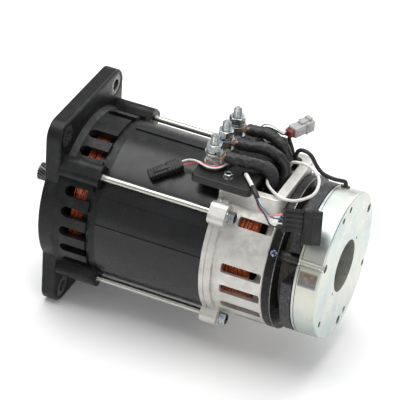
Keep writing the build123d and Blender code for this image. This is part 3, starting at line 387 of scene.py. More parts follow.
# CAD slots whose finish has another name
for slot, look in (("laminations", "bare_laminations"), ("winding", "copper_winding"),
                   ("zinc_steel", "bright_zinc"), ("zinc_plated_body", "turned_zinc"),
                   ("tinned_copper", "tarnished_copper"), ("potting_resin", "coil_resin")):
    MATERIALS[slot] = MATERIALS[look]


# ---- mesh tools


def polar(radius, turn, height):
    """A point round Z, at a turn in radians."""
    return Vector((radius * math.cos(turn), radius * math.sin(turn), height))


def ring(radius, height, count):
    """Points evenly round Z."""
    return [polar(radius, math.tau * i / count, height) for i in range(count)]


class Shape:
    """Points and faces gathered into one piece, given in millimetres."""

    def __init__(self):
        self.points = []
        self.faces = []

    def rings(self, loops, closed_ends=(True, True), closed_loop=True):
        """Skin over loops of points with the same count."""
        start = len(self.points)
        count = len(loops[0])
        for loop in loops:
            self.points.extend(Vector(p) for p in loop)
        last = count if closed_loop else count - 1
        for row in range(len(loops) - 1):
            for i in range(last):
                a = start + row * count + i
                b = start + row * count + (i + 1) % count
                self.faces.append((a, b, b + count, a + count))
        if closed_ends[0]:
            self.faces.append(tuple(start + i for i in reversed(range(count))))
        if closed_ends[1]:
            top = start + (len(loops) - 1) * count
            self.faces.append(tuple(top + i for i in range(count)))
        return self

    def lathe(self, profile, segments=48, place=Matrix.Identity(4), closed=False):
        """Turn (height, radius) points round Z, then put the result in place."""
        loops = []
        for height, radius in profile:
            loops.append([place @ p for p in ring(radius, height, segments)])
        if closed:
            loops.append(loops[0])
        return self.rings(loops, (not closed, not closed))

    def box(self, place, low, high, round_by, steps=2):
        """Box with rounded edges."""
        cell = bmesh.new()
        bmesh.ops.create_cube(cell, size=1)
        low, high = Vector(low), Vector(high)
        for vertex in cell.verts:
            for axis in range(3):
                vertex.co[axis] = high[axis] if vertex.co[axis] > 0 else low[axis]
        bmesh.ops.bevel(cell, geom=cell.edges[:], offset=round_by, segments=steps, profile=0.5,
                        affect="EDGES", clamp_overlap=True)
        start = len(self.points)
        cell.verts.index_update()
        self.points.extend(place @ v.co for v in cell.verts)
        self.faces.extend(tuple(start + v.index for v in face.verts) for face in cell.faces)
        cell.free()
        return self

    def boxes(self, place, rows):
        """Boxes by their low corner, high corner, edge rounding and, where it isn't two, its steps."""
        for row in rows:
            self.box(place, *row)
        return self

    def piece(self, name, material, node=None, slot=None, smooth=38.0):
        """The finished object, in place of a CAD node if one is named, smooth below an angle in degrees."""
        mesh = bpy.data.meshes.new(name)
        mesh.from_pydata([p * MM for p in self.points], [], self.faces)
        mesh.validate()
        tidy = bmesh.new()
        tidy.from_mesh(mesh)
        bmesh.ops.remove_doubles(tidy, verts=tidy.verts, dist=1e-7)
        bmesh.ops.recalc_face_normals(tidy, faces=tidy.faces)
        tidy.to_mesh(mesh)
        tidy.free()
        mesh.materials.append(MATERIALS[material])
        mesh.shade_smooth()
        mesh.set_sharp_from_angle(angle=math.radians(smooth))
        return settle(put(name, mesh), node)


def settle(made, node=None):
    """Attach a piece to the housing body, and hide the CAD node that it stands for, if any."""
    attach(made, "housing")
    if node:
        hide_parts(node)
    return made


def box_mm(node):
    low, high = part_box(node)
    return low / MM, high / MM


def turned(degrees, axis):
    return Matrix.Rotation(math.radians(degrees), 4, axis)


def along_x(x, y, z):
    """Place for a lathe whose Z runs along the shaft direction."""
    return Matrix.Translation((x, y, z)) @ Matrix.Rotation(math.pi / 2, 4, "Y")


SHAFT_LINE = along_x(0, 0, 0)


def upright(x, y, z):
    return Matrix.Translation((x, y, z))


def clock(angle, radius):
    """Y and Z at a clock angle round the shaft: 0 is up, 90 is away from the camera."""
    turn = math.radians(angle)
    return radius * math.sin(turn), radius * math.cos(turn)


def thread(radius, pitch, length, tip, segments=32):
    """Loops of a screw thread along Z, chamfered over a length at its tip."""
    depth = 0.55 * pitch
    rows = max(8, int(length / pitch * 6))
    loops = []
    for row in range(rows + 1):
        z = length * row / rows
        limit = radius - max(0.0, tip - (length - z))
        loop = []
        for i in range(segments):
            phase = (z / pitch - i / segments) % 1
            crest = min(1.0, abs(2 * phase - 1) * 1.3)
            r = min(radius - depth * (1 - crest), limit)
            loop.append(polar(r, math.tau * i / segments, z))
        loops.append(loop)
    return loops


def placed(loops, place):
    return [[place @ p for p in loop] for loop in loops]


def hexagon_loops(flats, height, bore, chamfer_low=True, count=48):
    """Loops of a nut: bore, countersink, face, chamfered hexagon and back. A bolt head has almost no bore."""
    face_radius = flats / 2 * 0.97
    drop = math.tan(math.radians(28))

    def circle(radius, z):
        return ring(radius, z, count)

    def hexagon(z, side):
        loop = []
        for i in range(count):
            turn = math.tau * i / count
            folded = (turn + math.pi / 6) % (math.pi / 3) - math.pi / 6
            radius = flats / 2 / math.cos(folded)
            fall = (radius - face_radius) * drop * side
            loop.append(polar(radius, turn, z - fall))
        return loop

    loops = [circle(bore, 0.5), circle(bore + 0.5, 0.0), circle(face_radius, 0.0)]
    loops += [hexagon(0.0, -1)] if chamfer_low else [circle(face_radius, 0.05), hexagon(0.4, 0)]
    loops += [hexagon(height, 1), circle(face_radius, height)]
    if bore > 0.05:
        loops += [circle(bore + 0.5, height), circle(bore, height - 0.5), circle(bore, 0.5)]
    return loops


# ---- cords

# Free leads by CAD node: diameter, length, stiffness, look and control points, in millimetres
LEADS = {
    "phase_lead_u": (10.0, 66.4, "stiff", "black_rubber",
        ((161, -25.4, 96.35), (168.5, -25.4, 96.35), (178.5, -22.3, 95), (188.5, -17.5, 92.8),
         (198.6, -14.3, 88.6), (201.8, -13.4, 79.5), (199, -14, 63))),
    "phase_lead_v": (10.0, 72.7, "stiff", "black_rubber",
        ((161, 0, 96.35), (168.5, 0, 96.35), (182, 3.2, 97), (190.5, 5.8, 93.8), (198.8, 6.4, 90.2),
         (205, 6.3, 84), (207.6, 4.5, 77), (206.6, 0.5, 69.5), (204, -3.2, 62.5))),
    "phase_lead_w": (10.0, 68.4, "stiff", "black_rubber",
        ((161, 25.4, 96.35), (168, 25.4, 96.35), (177, 26.5, 97.6), (185.5, 25.6, 95.8), (195.5, 23, 91.5),
         (202, 20.8, 83), (203, 20.5, 73), (200.5, 18, 61.5))),
    "brake_lead": (3.8, 85.3, "medium", "black_rubber",
        ((207.5, 26, 70), (207.2, 25.5, 81), (209.2, 24.3, 90.5), (214.7, 23, 93.6), (221.2, 21.5, 93.4),
         (225.8, 20.5, 90.1), (230.1, 20, 83.1), (235.8, 19.8, 77.4), (242.6, 21.2, 74.4),
         (248.6, 24.2, 71.8), (253.4, 27.8, 70.2), (256.6, 30.4, 68.4), (256.8, 29.08, 65.32))),
    "white_loop_wire": (2.8, 154.2, "medium", "white_sleeve",
        ((197.4, -15.2, 84.2), (198.8, -19.6, 79.3), (200.8, -22.4, 77.9), (206.1, -28, 78.2),
         (213, -34.2, 79.4), (219.5, -37.6, 79.6), (225.6, -38.4, 79.8), (231.5, -38.2, 80.6),
         (237.8, -37.2, 83), (243.4, -35.4, 86.1), (247.7, -32.6, 89.2), (249.1, -27, 91.7),
         (247.9, -20, 94.1), (244.5, -13, 95.7), (239.2, -8, 96.5), (232.7, -4, 97.1), (226.2, -1, 96.4),
         (218.9, 2, 93.7), (212.6, 6.8, 89.4), (208.8, 12.6, 83.5), (205.6, 13.6, 76), (203.8, 11, 66))),
    "sensor_lead": (3.8, 51.7, "medium", "white_sleeve",
        ((180, -22.5, 68), (180.2, -24.2, 79.5), (181, -28, 86.7), (184.6, -32.6, 87), (191.2, -39.8, 86.5),
         (197.6, -46.2, 84.6), (202.6, -50.4, 80.4))),
    "sensor_wire_pink": (1.5, 40.8, "limp", "pink_sleeve",
        ((201.4, -50.0, 80.2), (202.6, -51.4, 76.0), (206.5, -54.6, 72.4), (213.6, -58.2, 71.8),
         (220.8, -62.6, 75.6), (226.8, -65.2, 80.6), (232.9, -61.5, 80.6))),
    "sensor_wire_blue": (1.5, 38.1, "limp", "blue_sleeve",
        ((202.1, -51, 81.3), (205.2, -53.1, 78), (211.5, -56.3, 76), (217.6, -59.8, 75), (222.8, -64, 75.4),
         (228.2, -66.2, 77.6), (233.9, -63.5, 77.3))),
    "sensor_wire_white": (1.5, 41.2, "limp", "white_sleeve",
        ((203.1, -49.8, 81.3), (205.8, -52, 76.8), (211.9, -55.4, 74.5), (218.2, -59, 72.9),
         (223, -65.8, 72.2), (229, -68.4, 74.3), (234.8, -65.6, 74))),
    "sensor_wire_black": (1.5, 43.4, "limp", "black_rubber",
        ((201.5, -50.4, 80), (204.6, -53.7, 76.2), (211, -57.2, 74.2), (216.6, -61.2, 71.5),
         (222.6, -67.8, 69.4), (229.6, -70, 71.4), (235.6, -67.4, 71.2))),
    "temp_wire_white": (1.8, 75.5, "limp", "white_sleeve",
        ((117.4, -26.2, 77.2), (121.6, -22.9, 79.2), (129, -26.4, 83.2), (136.0, -32.4, 87.6),
         (141.7, -35.3, 88), (148.2, -37.3, 88), (154.9, -35.2, 88), (159.2, -29.4, 88), (160.9, -21.5, 88),
         (165.8, -15.4, 86), (167.5, -12.6, 79))),
    "temp_wire_red": (1.5, 69.4, "limp", "red_sleeve",
        ((120.3, -29.1, 75.7), (124.5, -25.8, 77.6), (130.5, -28.4, 81.4), (135.8, -30.9, 87.2),
         (142.5, -33.5, 88), (148.2, -35.3, 88), (153.9, -33.5, 88), (157.5, -28.8, 88), (158.4, -22.5, 88),
         (164.5, -13.9, 86.4), (165.1, -12.7, 79))),
    "signal_wire_white": (1.6, 57.4, "limp", "white_sleeve",
        ((193.7, 34.9, 100.2), (191.7, 30.4, 100.6), (187, 29, 103.2), (180, 31.6, 104),
         (172.1, 34.8, 101.6), (167, 35, 95.5), (168.5, 33, 90.4), (173.5, 30.5, 87.2), (178, 29.5, 83),
         (178.5, 29, 77))),
    "signal_wire_black": (1.6, 57.5, "limp", "black_rubber",
        ((195.7, 34.4, 98.4), (193.2, 28.8, 98.8), (185.5, 29, 101.3), (178.4, 31.1, 101.2),
         (171.5, 32.2, 99), (168.2, 31.4, 94.5), (170.6, 29.2, 89.2), (176.2, 27.4, 86.6),
         (180.2, 26.6, 82), (180.6, 26.4, 76))),
    "signal_lead": (3.6, 33.5, "medium", "black_rubber",
        ((196.1, 35.3, 96.3), (196.1, 35.3, 91.6), (199.8, 33.6, 86.8), (203, 30.8, 81),
         (203.4, 29.8, 74.5), (203, 28.8, 65.5))),
}
# Sleeves of the phase leads: where each ends along its lead, and how deeply it wrinkles
PHASE_SLEEVES = {"u": (35.0, 0.55), "v": (44.0, 0.4), "w": (42.0, 0.5)}


def cord(node):
    """A free lead in place of its CAD node: one smooth spline whose control points are its route."""
    diameter, length, stiffness, look, route = LEADS[node]
    curve = bpy.data.curves.new(node + "_cord", "CURVE")
    curve.dimensions = "3D"
    spline = curve.splines.new("NURBS")
    spline.points.add(len(route) - 1)
    for point, position in zip(spline.points, route):
        point.co = (*mm(*position), 1)
    spline.order_u = 3
    spline.use_endpoint_u = True
    curve.resolution_u = 10
    curve.bevel_depth = diameter / 2 * MM
    curve.bevel_resolution = 6
    curve.use_fill_caps = True
    curve.materials.append(MATERIALS[look])
    made = settle(put(node + "_cord", curve), node)
    return made


def curve_mesh(name, curve):
    """A curve as a mesh."""
    holder = put(name, curve)
    bpy.context.view_layer.update()
    mesh = bpy.data.meshes.new_from_object(holder.evaluated_get(bpy.context.evaluated_depsgraph_get()))
    bpy.data.objects.remove(holder)
    return mesh


def centreline(piece):
    """Points along a cord's spline, in millimetres, with their distances from its start."""
    bare = piece.data.copy()
    bare.bevel_depth = 0
    bare.use_fill_caps = False
    mesh = curve_mesh("centreline", bare)
    points = [v.co / MM for v in mesh.vertices]
    bpy.data.curves.remove(bare)
    bpy.data.meshes.remove(mesh)
    reach = [0.0]
    for a, b in zip(points, points[1:]):
        reach.append(reach[-1] + (b - a).length)
    return points, reach


def walk(points, reach, distance):
    """Position and direction at a distance along a line, which runs on straight past its ends."""
    if distance <= 0:
        heading = (points[1] - points[0]).normalized()
        return points[0] + heading * distance, heading
    for i in range(len(points) - 1):
        if distance <= reach[i + 1]:
            step = points[i + 1] - points[i]
            share = (distance - reach[i]) / max(step.length, 1e-9)
            return points[i] + step * share, step.normalized()
    heading = (points[-1] - points[-2]).normalized()
    return points[-1] + heading * (distance - reach[-1]), heading


WRINKLE_SCALE = 0.35
SEED_STEP = 7.3


def sleeve_loops(piece, start, end, radius, wrinkle, step=0.8, segments=28, seed=0):
    """Loops of a wrinkled tube drawn over a cord from start to end. radius takes the share of the way."""
    points, reach = centreline(piece)
    count = max(4, int((end - start) / step))
    across = None
    loops = []
    for row in range(count + 1):
        share = row / count
        centre, heading = walk(points, reach, start + (end - start) * share)
        guess = across if across is not None else UP.cross(heading)
        across = (guess - heading * guess.dot(heading)).normalized()
        other = heading.cross(across)
        loop = []
        for i in range(segments):
            turn = math.tau * i / segments
            out = across * math.cos(turn) + other * math.sin(turn)
            r = radius(share)
            spot = (centre + out * r) * WRINKLE_SCALE + Vector((seed * SEED_STEP, 0, 0))
            loop.append(centre + out * (r + wrinkle * noise.noise(spot)))
        loops.append(loop)
    return loops


def taper(radius, lip, share_in, share_out):
    """Sleeve radius that closes by lip on the cord, over a share of the way at each end."""

    def at(share):
        edge = min(share / share_in, (1 - share) / share_out, 1.0)
        return radius - lip * (1 - edge) ** 2

    return at


def phase_leads():
    """Three thick leads, each with its shrunk sleeve over the lug, and a boot on the first."""
    made = {}
    for key, (end, wrinkle) in PHASE_SLEEVES.items():
        node = "phase_lead_" + key
        made[key] = cord(node)
        shape = Shape()
        radius = taper(5.5, 0.45, 0.06, 0.05)
        shape.rings(sleeve_loops(made[key], -1.2, end, radius, wrinkle, 0.7, 36, ord(key)))
        shape.piece(node + "_sleeve", "heat_shrink", slot="black_rubber")
    boot = Shape()
    boot.rings(sleeve_loops(made["u"], 33.5, 58.0, taper(6.35, 0.5, 0.04, 0.1), 0.15, seed=4))
    boot.piece("phase_lead_u_boot", "braided_sleeve", slot="black_rubber")


def small_leads():
    """Brake lead, loop wire, sensor, temperature and signal wiring, and the sleeve on the sensor lead."""
    for node in LEADS:
        if node.startswith("phase_lead"):
            continue
        lead = cord(node)
        if node == "sensor_lead":
            shrink = Shape()
            shrink.rings(sleeve_loops(lead, 38.0, 51.5, taper(2.4, 0.35, 0.12, 0.15), 0.15, 0.6))
            shrink.piece("sensor_lead_sleeve", "heat_shrink", slot="black_rubber")


# ---- terminals

# Heights of the stack on each stud, from the thread's start to the upper nut, and the turn of each nut
STUD_X = 148.2
STUD_YS = (-25.4, 0.0, 25.4)
STUD_R = 4.0
STUD_PITCH = 1.25
STUD_TIP_CHAMFER = 1.7
LOWER_WASHER_Z = 87.0
THREAD_START_Z = 87.2
LOWER_NUT_Z = 88.6
LUG_Z = 95.1
UPPER_WASHER_Z = 97.6
SPRING_WASHER_Z = 99.35
UPPER_NUT_Z = 101.2
WASHER_THICK = 1.6
WASHER_R = 8.5
NUT_FLATS = 13.0
NUT_HEIGHT = 6.5
LOWER_NUT_TURN = 11.0
UPPER_NUT_TURNS = (8.0, 21.0, -14.0)
LUG_BORE_R = 4.3
LUG_EYE_R = 7.7
LUG_HALF_WIDTH = 5.2
LUG_END = 11.5
LUG_MIDDLE_Z = 96.35
# Crimp barrel of a lug: x, half width and half height, from the flat eye to the round end
LUG_NECK = ((155.5, 4.9, 1.25), (156.6, 4.9, 1.6), (157.8, 4.9, 3.2), (159.2, 4.9, 4.6), (162.0, 4.9, 4.8))
BLOCK_SCREW_X = 168.0
BLOCK_SCREW_YS = (-37.0, 37.0)


def terminal_studs():
    low, high = box_mm("terminal_studs")
    shape = Shape()
    for y in STUD_YS:
        loops = thread(STUD_R, STUD_PITCH, high.z - THREAD_START_Z, STUD_TIP_CHAMFER)
        shape.rings(placed(loops, upright(STUD_X, y, THREAD_START_Z)))
        shape.lathe([(low.z, STUD_R - 0.4), (THREAD_START_Z + 0.1, STUD_R - 0.4)], 32, upright(STUD_X, y, 0))
    shape.piece("terminal_stud_threads", "zinc_steel", node="terminal_studs")


def terminal_nuts():
    shape = Shape()
    for index, y in enumerate(STUD_YS):
        for level, turn in ((LOWER_NUT_Z, LOWER_NUT_TURN), (UPPER_NUT_Z, UPPER_NUT_TURNS[index])):
            place = upright(STUD_X, y, level) @ turned(turn, "Z")
            shape.rings(placed(hexagon_loops(NUT_FLATS, NUT_HEIGHT, STUD_R - 0.1), place), (False, False))
    shape.piece("terminal_hex_nuts", "zinc_steel", node="terminal_nuts", smooth=24)


def washer_profile(height, inner, outer, edge=0.25):
    """Closed (height, radius) outline of a flat washer with broken edges."""
    return [(0, inner + edge), (0, outer - edge), (edge, outer), (height - edge, outer),
            (height, outer - edge), (height, inner + edge), (height - edge, inner), (edge, inner)]


def terminal_washers():
    shape = Shape()
    for y in STUD_YS:
        for level in (LOWER_WASHER_Z, UPPER_WASHER_Z):
            profile = washer_profile(WASHER_THICK, STUD_R + 0.25, WASHER_R)
            shape.lathe(profile, 56, upright(STUD_X, y, level), closed=True)
    shape.piece("terminal_flat_washers", "zinc_steel", node="terminal_washers")


def split_ring(inner, outer, thick, rise, place, gap=14.0, segments=56):
    """Loops of a spring washer: a squared ring with a gap whose ends stand apart by rise."""
    edge = 0.18
    loops = []
    for i in range(segments + 1):
        share = i / segments
        turn = math.radians(gap / 2 + (360 - gap) * share)
        lift = rise * (share - 0.5)
        section = ((inner, edge), (inner + edge, 0), (outer - edge, 0), (outer, edge),
                   (outer, thick - edge), (outer - edge, thick), (inner + edge, thick), (inner, thick - edge))
        loops.append([place @ polar(r, turn, z + lift) for r, z in section])
    return loops


def terminal_spring_washers():
    shape = Shape()
    for index, y in enumerate(STUD_YS):
        turn = turned(-60 + 35 * index, "Z")
        shape.rings(split_ring(4.3, 7.1, 1.7, 0.3, upright(STUD_X, y, SPRING_WASHER_Z) @ turn))
    shape.piece("terminal_split_washers", "zinc_steel", node="terminal_spring_washers")


def lug_outline(grow, z, count):
    """Round eye of a lug with the straight-sided tongue that runs to its barrel."""
    loop = []
    for i in range(count):
        turn = math.tau * i / count
        along, across = math.cos(turn), abs(math.sin(turn))
        radius = LUG_EYE_R
        if along > 0.2:
            radius = max(radius, min(LUG_END / along, LUG_HALF_WIDTH / max(across, 1e-6)))
        loop.append(polar(radius + grow, turn, z))
    return loop


def squared(angle, power=0.6):
    """Cosine and sine of an angle, pushed out towards a square."""
    return [math.copysign(abs(share) ** power, share) for share in (math.cos(angle), math.sin(angle))]


def cable_lugs():
    """Stamped copper eyes that narrow into the crimp barrels under the sleeves."""
    shape = Shape()
    count = 72
    low, high = LUG_Z, UPPER_WASHER_Z
    bore_low, bore_high = (ring(LUG_BORE_R, z, count) for z in (low, high))
    eye = [bore_low, lug_outline(-0.4, low, count), lug_outline(0, low + 0.5, count),
           lug_outline(0, high - 0.5, count), lug_outline(-0.4, high, count), bore_high, bore_low]
    for y in STUD_YS:
        shape.rings(placed(eye, upright(STUD_X, y, 0)), (False, False))
        neck = []
        for x, half_y, half_z in LUG_NECK:
            section = [squared(math.tau * i / 32) for i in range(32)]
            neck.append([(x, y + half_y * cy, LUG_MIDDLE_Z + half_z * cz) for cy, cz in section])
        shape.rings(neck)
    shape.piece("cable_ring_lugs", "tinned_copper", node="cable_lugs")


def block_screws():
    """Hexagon screws with washers at both ends of the terminal block."""
    shape = Shape()
    for y in BLOCK_SCREW_YS:
        axis = upright(BLOCK_SCREW_X, y, 0)
        place = upright(BLOCK_SCREW_X, y, 84.6) @ Matrix.Rotation(0.5, 4, "Z")
        shape.rings(placed(hexagon_loops(7.6, 3.8, 2.0), place), (False, False))
        shape.lathe([(85.6, 2.1), (85.6, 0.1)], 24, axis)
        shape.lathe(washer_profile(0.6, 2.4, 5.0, 0.15), 40, upright(BLOCK_SCREW_X, y, 84.02), closed=True)
        shape.lathe([(66.0, 2.4), (84.0, 2.4)], 24, axis)
    shape.piece("block_cross_screws", "zinc_steel", node="terminal_block_screws")


# ---- tie rods

TIE_CIRCLE_R = 80.0
TIE_ANGLES = (45, 135, 225, 315)
TIE_ROD_R = 3.0
TIE_SHANK_R = 2.9
TIE_PITCH = 1.0
TIE_THREAD_LENGTH = 28.0
TIE_HEAD_FLATS = 9.6


def tie_rods():
    low, high = box_mm("tie_rods")
    washer_low, washer_high = box_mm("tie_rod_washers")
    shape = Shape()
    heads = Shape()
    washers = Shape()
    for index, angle in enumerate(TIE_ANGLES):
        y, z = clock(angle, TIE_CIRCLE_R)
        shape.rings(placed(thread(TIE_ROD_R, TIE_PITCH, TIE_THREAD_LENGTH, 0.2), along_x(low.x, y, z)))
        shank = ((57.5, 2.4), (58.4, TIE_SHANK_R), (172.0, TIE_SHANK_R), (washer_high.x, TIE_SHANK_R))
        shape.lathe(shank, 32, along_x(0, y, z))
        head = along_x(washer_high.x, y, z) @ turned(17 * index + 6, "Z")
        loops = hexagon_loops(TIE_HEAD_FLATS, high.x - washer_high.x, 0.01, False)
        heads.rings(placed(loops, head), (False, False))
        washers.lathe(washer_profile(washer_high.x - washer_low.x, TIE_ROD_R + 0.1, 5.7, 0.2), 48,
                      along_x(washer_low.x, y, z), closed=True)
    shape.piece("tie_rod_bolts", "rod_zinc", node="tie_rods", smooth=24, slot="zinc_steel")
    heads.piece("tie_rod_heads", "zinc_steel", node="tie_rods", smooth=24)
    washers.piece("tie_rod_flat_washers", "zinc_steel", node="tie_rod_washers")


# ---- winding

WINDING_SLOTS = 36
WIRES_PER_COIL = 6
COIL_STEPS = 22
COIL_LEAN = 76
SPAN_WIRES = 9
SPAN_STEPS = 17
SPAN_ARC = 62
WIRE_R = 0.5


def winding_head(name, core_end, nose, inner, outer, rows, row_start):
    """End turns: rows of wires laid round the outside from row_start, a share of the way to the nose,
    over coils that leave their slots, lean round and fold back one layer further in."""
    random.seed(11)
    curve = bpy.data.curves.new(name, "CURVE")
    curve.dimensions = "3D"
    curve.bevel_depth = WIRE_R * MM
    curve.bevel_resolution = 1
    curve.resolution_u = 2
    direction = 1 if nose > core_end else -1
    span_from = core_end + direction * abs(nose - core_end) * row_start
    for row in range(rows):
        for start in range(SPAN_WIRES):
            place = (row + random.uniform(-0.3, 0.3)) / rows
            x = span_from + (nose - direction * 1.4 - span_from) * place
            base = start * 360 / SPAN_WIRES + random.uniform(-12, 12)
            slope = random.uniform(-1.6, 1.6)
            depth = random.uniform(0.7, 1.5)
            spline = curve.splines.new("POLY")
            spline.points.add(SPAN_STEPS)
            for k in range(SPAN_STEPS + 1):
                share = k / SPAN_STEPS
                ease = math.sin(math.pi * share)
                y, z = clock(base + SPAN_ARC * share, outer - depth - 4 * (1 - ease ** 0.4))
                wave = 0.35 * math.sin(9 * share + row + start)
                spline.points[k].co = (*mm(x + slope * (share - 0.5) + wave, y, z), 1)
    reach = abs(nose - core_end) - 1.2
    for coil in range(WINDING_SLOTS):
        for wire in range(WIRES_PER_COIL):
            spread = (wire % 3 - 1) * 1.15 + random.uniform(-0.3, 0.3)
            layer = (wire // 3) * 1.25 + random.uniform(-0.3, 0.3)
            spline = curve.splines.new("POLY")
            spline.points.add(COIL_STEPS)
            for k in range(COIL_STEPS + 1):
                share = k / COIL_STEPS
                lean = 0.5 - 0.5 * math.cos(math.pi * share)
                angle = coil * 360 / WINDING_SLOTS + COIL_LEAN * lean + spread * math.cos(math.pi * share)
                rise = math.sin(math.pi * share) ** 0.55
                x = core_end + direction * (reach - layer - abs(spread)) * rise
                radius = outer - 2.4 - layer - (outer - inner - 4.5) * lean
                radius += 0.5 * math.sin(6 * math.pi * share + coil)
                y, z = clock(angle, min(radius, outer - 0.6))
                spline.points[k].co = (*mm(x, y, z), 1)
    curve.materials.append(MATERIALS["winding"])
    mesh = curve_mesh(name, curve)
    mesh.shade_smooth()
    settle(put(name, mesh), "stator_winding")


def winding_collars():
    """Varnished filling under the end turns; slot paper rings beside the core, black partly as painted shade
    in the slots; and a black sheet over the rear turns that is painted shade under the leads in the bell's
    top opening.
    """
    filling = Shape()
    for x0, x1 in ((56.0, 29.0), (163.0, 201.0)):
        step = 1 if x1 > x0 else -1
        shoulder, foot = x1 - 4 * step, x1 - 3 * step
        profile = ((x0, 50.5), (x0, 61.5), (shoulder, 61.5), (x1, 58.5), (x1, 53.0), (foot, 50.5))
        filling.lathe(profile, 120, SHAFT_LINE, closed=True)
    filling.piece("winding_filling", "potting_resin", slot="winding")
    paper = Shape()
    # slot paper rings beside the core, made black partly as painted shade in the slot ends
    for x0, x1 in ((40.0, 56.9), (162.1, 165.0)):
        paper.lathe(((x0, 64.5), (x0, 66.9), (x1, 67.2), (x1, 64.5)), 144, SHAFT_LINE, closed=True)
    # painted shade: a black sheet over the top of the rear turns, standing for the shade in the hollow under
    # the leads
    top = [[(x, *clock(40 * (i / 12 - 1), radius)) for i in range(25)]
           for x, radius in ((163.0, 66.6), (164.0, 67.0), (201.0, 67.0), (202.0, 66.6))]
    paper.rings(top, (False, False), False)
    paper.piece("winding_slot_paper_and_painted_shade", "black_rubber", slot="winding")


# ---- connectors


def sensor_connector():
    """Black two-part connector: ribbed half with its seal, and the taller mating half."""
    place = Matrix.Translation((233.1, -64.2, 77.0)) @ turned(25, "Z") @ turned(3, "Y") @ turned(-35, "X")
    Shape().boxes(place, (
        ((0.6, -5.0, -10.0), (17.2, 5.6, 10.0), 1.2, 3),
        *(((1.6, -6.2, z - 1.35), (17.0, -4.0, z + 1.35), 0.6) for z in (8.3, 4.15, 0.0, -4.15, -8.3)),
        ((0.0, -6.3, -10.6), (1.9, 6.0, 10.6), 0.5),
        ((13.6, -6.35, 7.4), (17.3, 6.2, 10.6), 0.5),
        *(((2.5, y - 0.9, 9.7), (12.5, y + 0.9, 10.6), 0.35) for y in (-3.4, 0.0, 3.4)),
        *(((-0.7, y - 1.1, z - 1.1), (0.4, y + 1.1, z + 1.1), 0.4)
          for y in (-3.0, 0.4, 3.8) for z in (-6.5, -2.5, 1.5, 5.5)),
    )).piece("sensor_plug_body", "black_plastic", node="sensor_connector")
    Shape().boxes(place, (
        ((17.0, -6.0, -20.3), (34.3, 6.0, 10.3), 1.4, 3),
        ((18.4, -6.35, -18.8), (33.0, -5.5, 1.0), 0.3),
        ((18.4, -6.35, 3.0), (33.0, -5.5, 9.0), 0.3),
        ((20.5, -2.6, 9.8), (31.0, 2.6, 11.0), 0.4),
        ((17.2, -6.4, -8.8), (19.4, 6.4, -6.8), 0.4),
        ((24.5, -6.45, -20.5), (27.0, 6.45, 10.5), 0.4),
    )).piece("sensor_plug_cap", "black_plastic", node="sensor_connector_cap")


def temp_connector():
    """Small black in-line connector that lies on the stator, with ribs across both halves."""
    centre = Vector((107.0, -37.0, 71.6))
    outward = Vector((0, centre.y, centre.z)).normalized()
    flat = Vector((1, 1, 0))
    along = (flat - outward * flat.dot(outward)).normalized()
    side = outward.cross(along)
    place = Matrix.Translation(centre) @ Matrix((along, side, outward)).transposed().to_4x4()
    ribs = [(x, 0.0) for x in (-15.2, -12.6, -10.0, -7.4, -4.8, -2.2)]
    ribs += [(x, 0.75) for x in (3.6, 6.2, 8.8, 11.4)]
    Shape().boxes(place, (
        ((-16.3, -4.5, -4.6), (2.0, 4.5, 3.0), 1.0, 3),
        ((1.0, -5.2, -4.7), (13.5, 5.2, 3.8), 1.3, 3),
        ((12.5, -4.2, -3.6), (16.4, 4.2, 3.0), 0.8, 3),
        ((-11.0, -1.7, 2.6), (4.0, 1.7, 4.4), 0.4),
        *(((x, -4.9 - proud, -3.4), (x + 1.2, 4.9 + proud, 3.5 + proud), 0.3) for x, proud in ribs),
    )).piece("temp_plug", "black_plastic", node="temp_connector")


def signal_connector():
    """Grey connector with its latch, ribs and nose, and the coloured wedge on its wire side."""
    place = Matrix.Translation((197.1, 37.6, 99.0)) @ turned(66, "Z")
    Shape().boxes(place, (
        ((0.0, -5.3, -5.1), (14.3, 5.3, 5.1), 1.1, 3),
        ((1.2, -5.6, -3.2), (12.4, 5.6, -0.5), 0.4),
        ((1.2, -5.6, 0.7), (12.4, 5.6, 3.2), 0.4),
        ((13.8, -6.1, -5.9), (15.8, 6.1, 5.9), 0.6, 3),
        ((15.4, -5.8, -5.6), (24.3, 5.8, 5.6), 1.2, 3),
        ((17.0, -6.1, -3.4), (23.0, 6.1, 3.4), 0.5),
        ((9.6, -2.7, 4.3), (22.0, 2.7, 7.0), 0.6, 3),
        ((18.4, -3.4, 6.0), (23.0, 3.4, 8.6), 0.7, 3),
        ((10.4, -3.3, 4.7), (12.2, 3.3, 6.2), 0.4),
    )).piece("signal_plug", "grey_plastic", node="signal_connector")
    wedge = Shape().boxes(place, (
        ((-4.9, -4.0, -3.2), (0.6, 4.0, 3.2), 0.7, 3),
        ((-2.2, -4.35, -3.5), (-0.4, 4.35, 3.5), 0.4),
    ))
    for y in (-1.9, 1.9):
        for z in (-1.5, 1.5):
            wedge.lathe([(-0.4, 1.35), (-0.4, 1.6), (0.3, 1.6)], 20, place @ along_x(-5.0, y, z))
    wedge.piece("signal_plug_wedge", "orange_plastic", node="signal_connector_wedge")


# ---- housing details

FLANGE_BOLT_YS = (-50.0, 50.0)
FLANGE_BOLT_ZS = (-85.0, 85.0)
# Closed (x, radius) outlines round each bolt hole: the spot face, the hole's wall and the tool marks
SPOT_FACE = ((14.42, 5.5), (14.46, 6.1), (14.46, 10.3), (14.41, 10.4), (14.2, 10.4), (14.2, 5.5))
HOLE_WALL = ((0.4, 5.48), (14.42, 5.48), (14.42, 5.36), (0.4, 5.36))
TOOL_MARKS = (7.0, 8.4, 9.6)


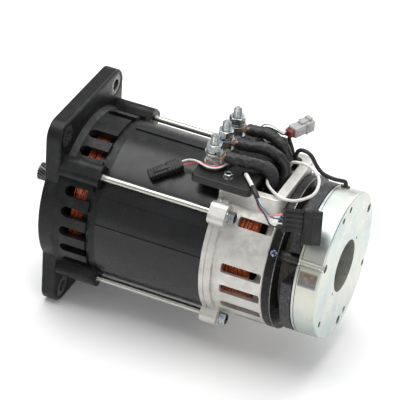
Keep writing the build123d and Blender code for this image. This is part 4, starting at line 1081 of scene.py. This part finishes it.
def flange_spot_faces():
    """Machined rings round the flange bolt holes and clean bores through them."""
    shape = Shape()
    for y in FLANGE_BOLT_YS:
        for z in FLANGE_BOLT_ZS:
            place = along_x(0, y, z)
            shape.lathe(SPOT_FACE, 64, place, closed=True)
            shape.lathe(HOLE_WALL, 48, place, closed=True)
            for r in TOOL_MARKS:
                mark = ((14.44, r), (14.49, r + 0.2), (14.49, r + 0.6), (14.44, r + 0.8))
                shape.lathe(mark, 64, place, closed=True)
    shape.piece("flange_spot_faces", "spot_face_steel", slot="ground_steel")


def brake_plate_trim():
    """Bright edge of the wear plate behind the brake's mounting plate, and three set screws in its rim."""
    band = ((230.3, 72.4), (230.3, 73.15), (231.08, 73.15), (231.08, 72.4))
    Shape().lathe(band, 192, SHAFT_LINE, closed=True).piece(
        "brake_wear_plate_edge", "spot_face_steel", slot="zinc_plated_body")
    screws = Shape()
    for angle in (-59.0, 61.0, 181.0):
        turn = turned(-angle, "X") @ Matrix.Translation((227.4, 0, 72.6))
        screws.rings(placed(hexagon_loops(5.6, 2.6, 1.4), turn), (False, False))
        screws.lathe([(0.9, 1.5), (0.9, 0.05)], 20, turn)
    screws.piece("brake_plate_screws", "blue_zinc", smooth=24, slot="zinc_steel")


def magnet_trim():
    """Blank label on the magnet body and the fine parting ring round its front edge."""
    loops = [[(x, *clock(-65.5 - i, 70.1)) for i in range(13)] for x in (253.6, 270.6)]
    Shape().rings(loops, (False, False), False).piece("blank_label", "blank_label", slot="zinc_plated_body")
    groove = ((252.3, 69.9), (252.3, 70.1), (252.6, 70.1), (252.6, 69.9))
    Shape().lathe(groove, 160, SHAFT_LINE, closed=True).piece(
        "magnet_edge_line", "black_steel", slot="zinc_plated_body")


def dress_cad_nodes():
    """Better materials for the CAD nodes that stay in view."""
    look_of = {
        "stator_core": "painted_laminations",
        "stator_cleats": "painted_laminations",
        "brake_flange_plate": "painted_ring",
        "motor_shaft": "pinion_steel",
        "brake_spacer_sleeves": "black_steel",
    }
    for node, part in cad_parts.items():
        slot = part.material_slots[0].material.name.split(".")[0]
        finish = MATERIALS[look_of.get(node, slot)]
        for entry in part.material_slots:
            entry.material = finish


dress_cad_nodes()
make_camera()
make_stage()
phase_leads()
small_leads()
terminal_studs()
terminal_nuts()
terminal_washers()
terminal_spring_washers()
cable_lugs()
block_screws()
tie_rods()
winding_head("winding_front_turns", 57.0, 25.0, 49.5, 66.5, 14, 0.52)
winding_head("winding_rear_turns", 162.0, 205.0, 49.5, 65.0, 30, 0.12)
winding_collars()
sensor_connector()
temp_connector()
signal_connector()
flange_spot_faces()
brake_plate_trim()
magnet_trim()
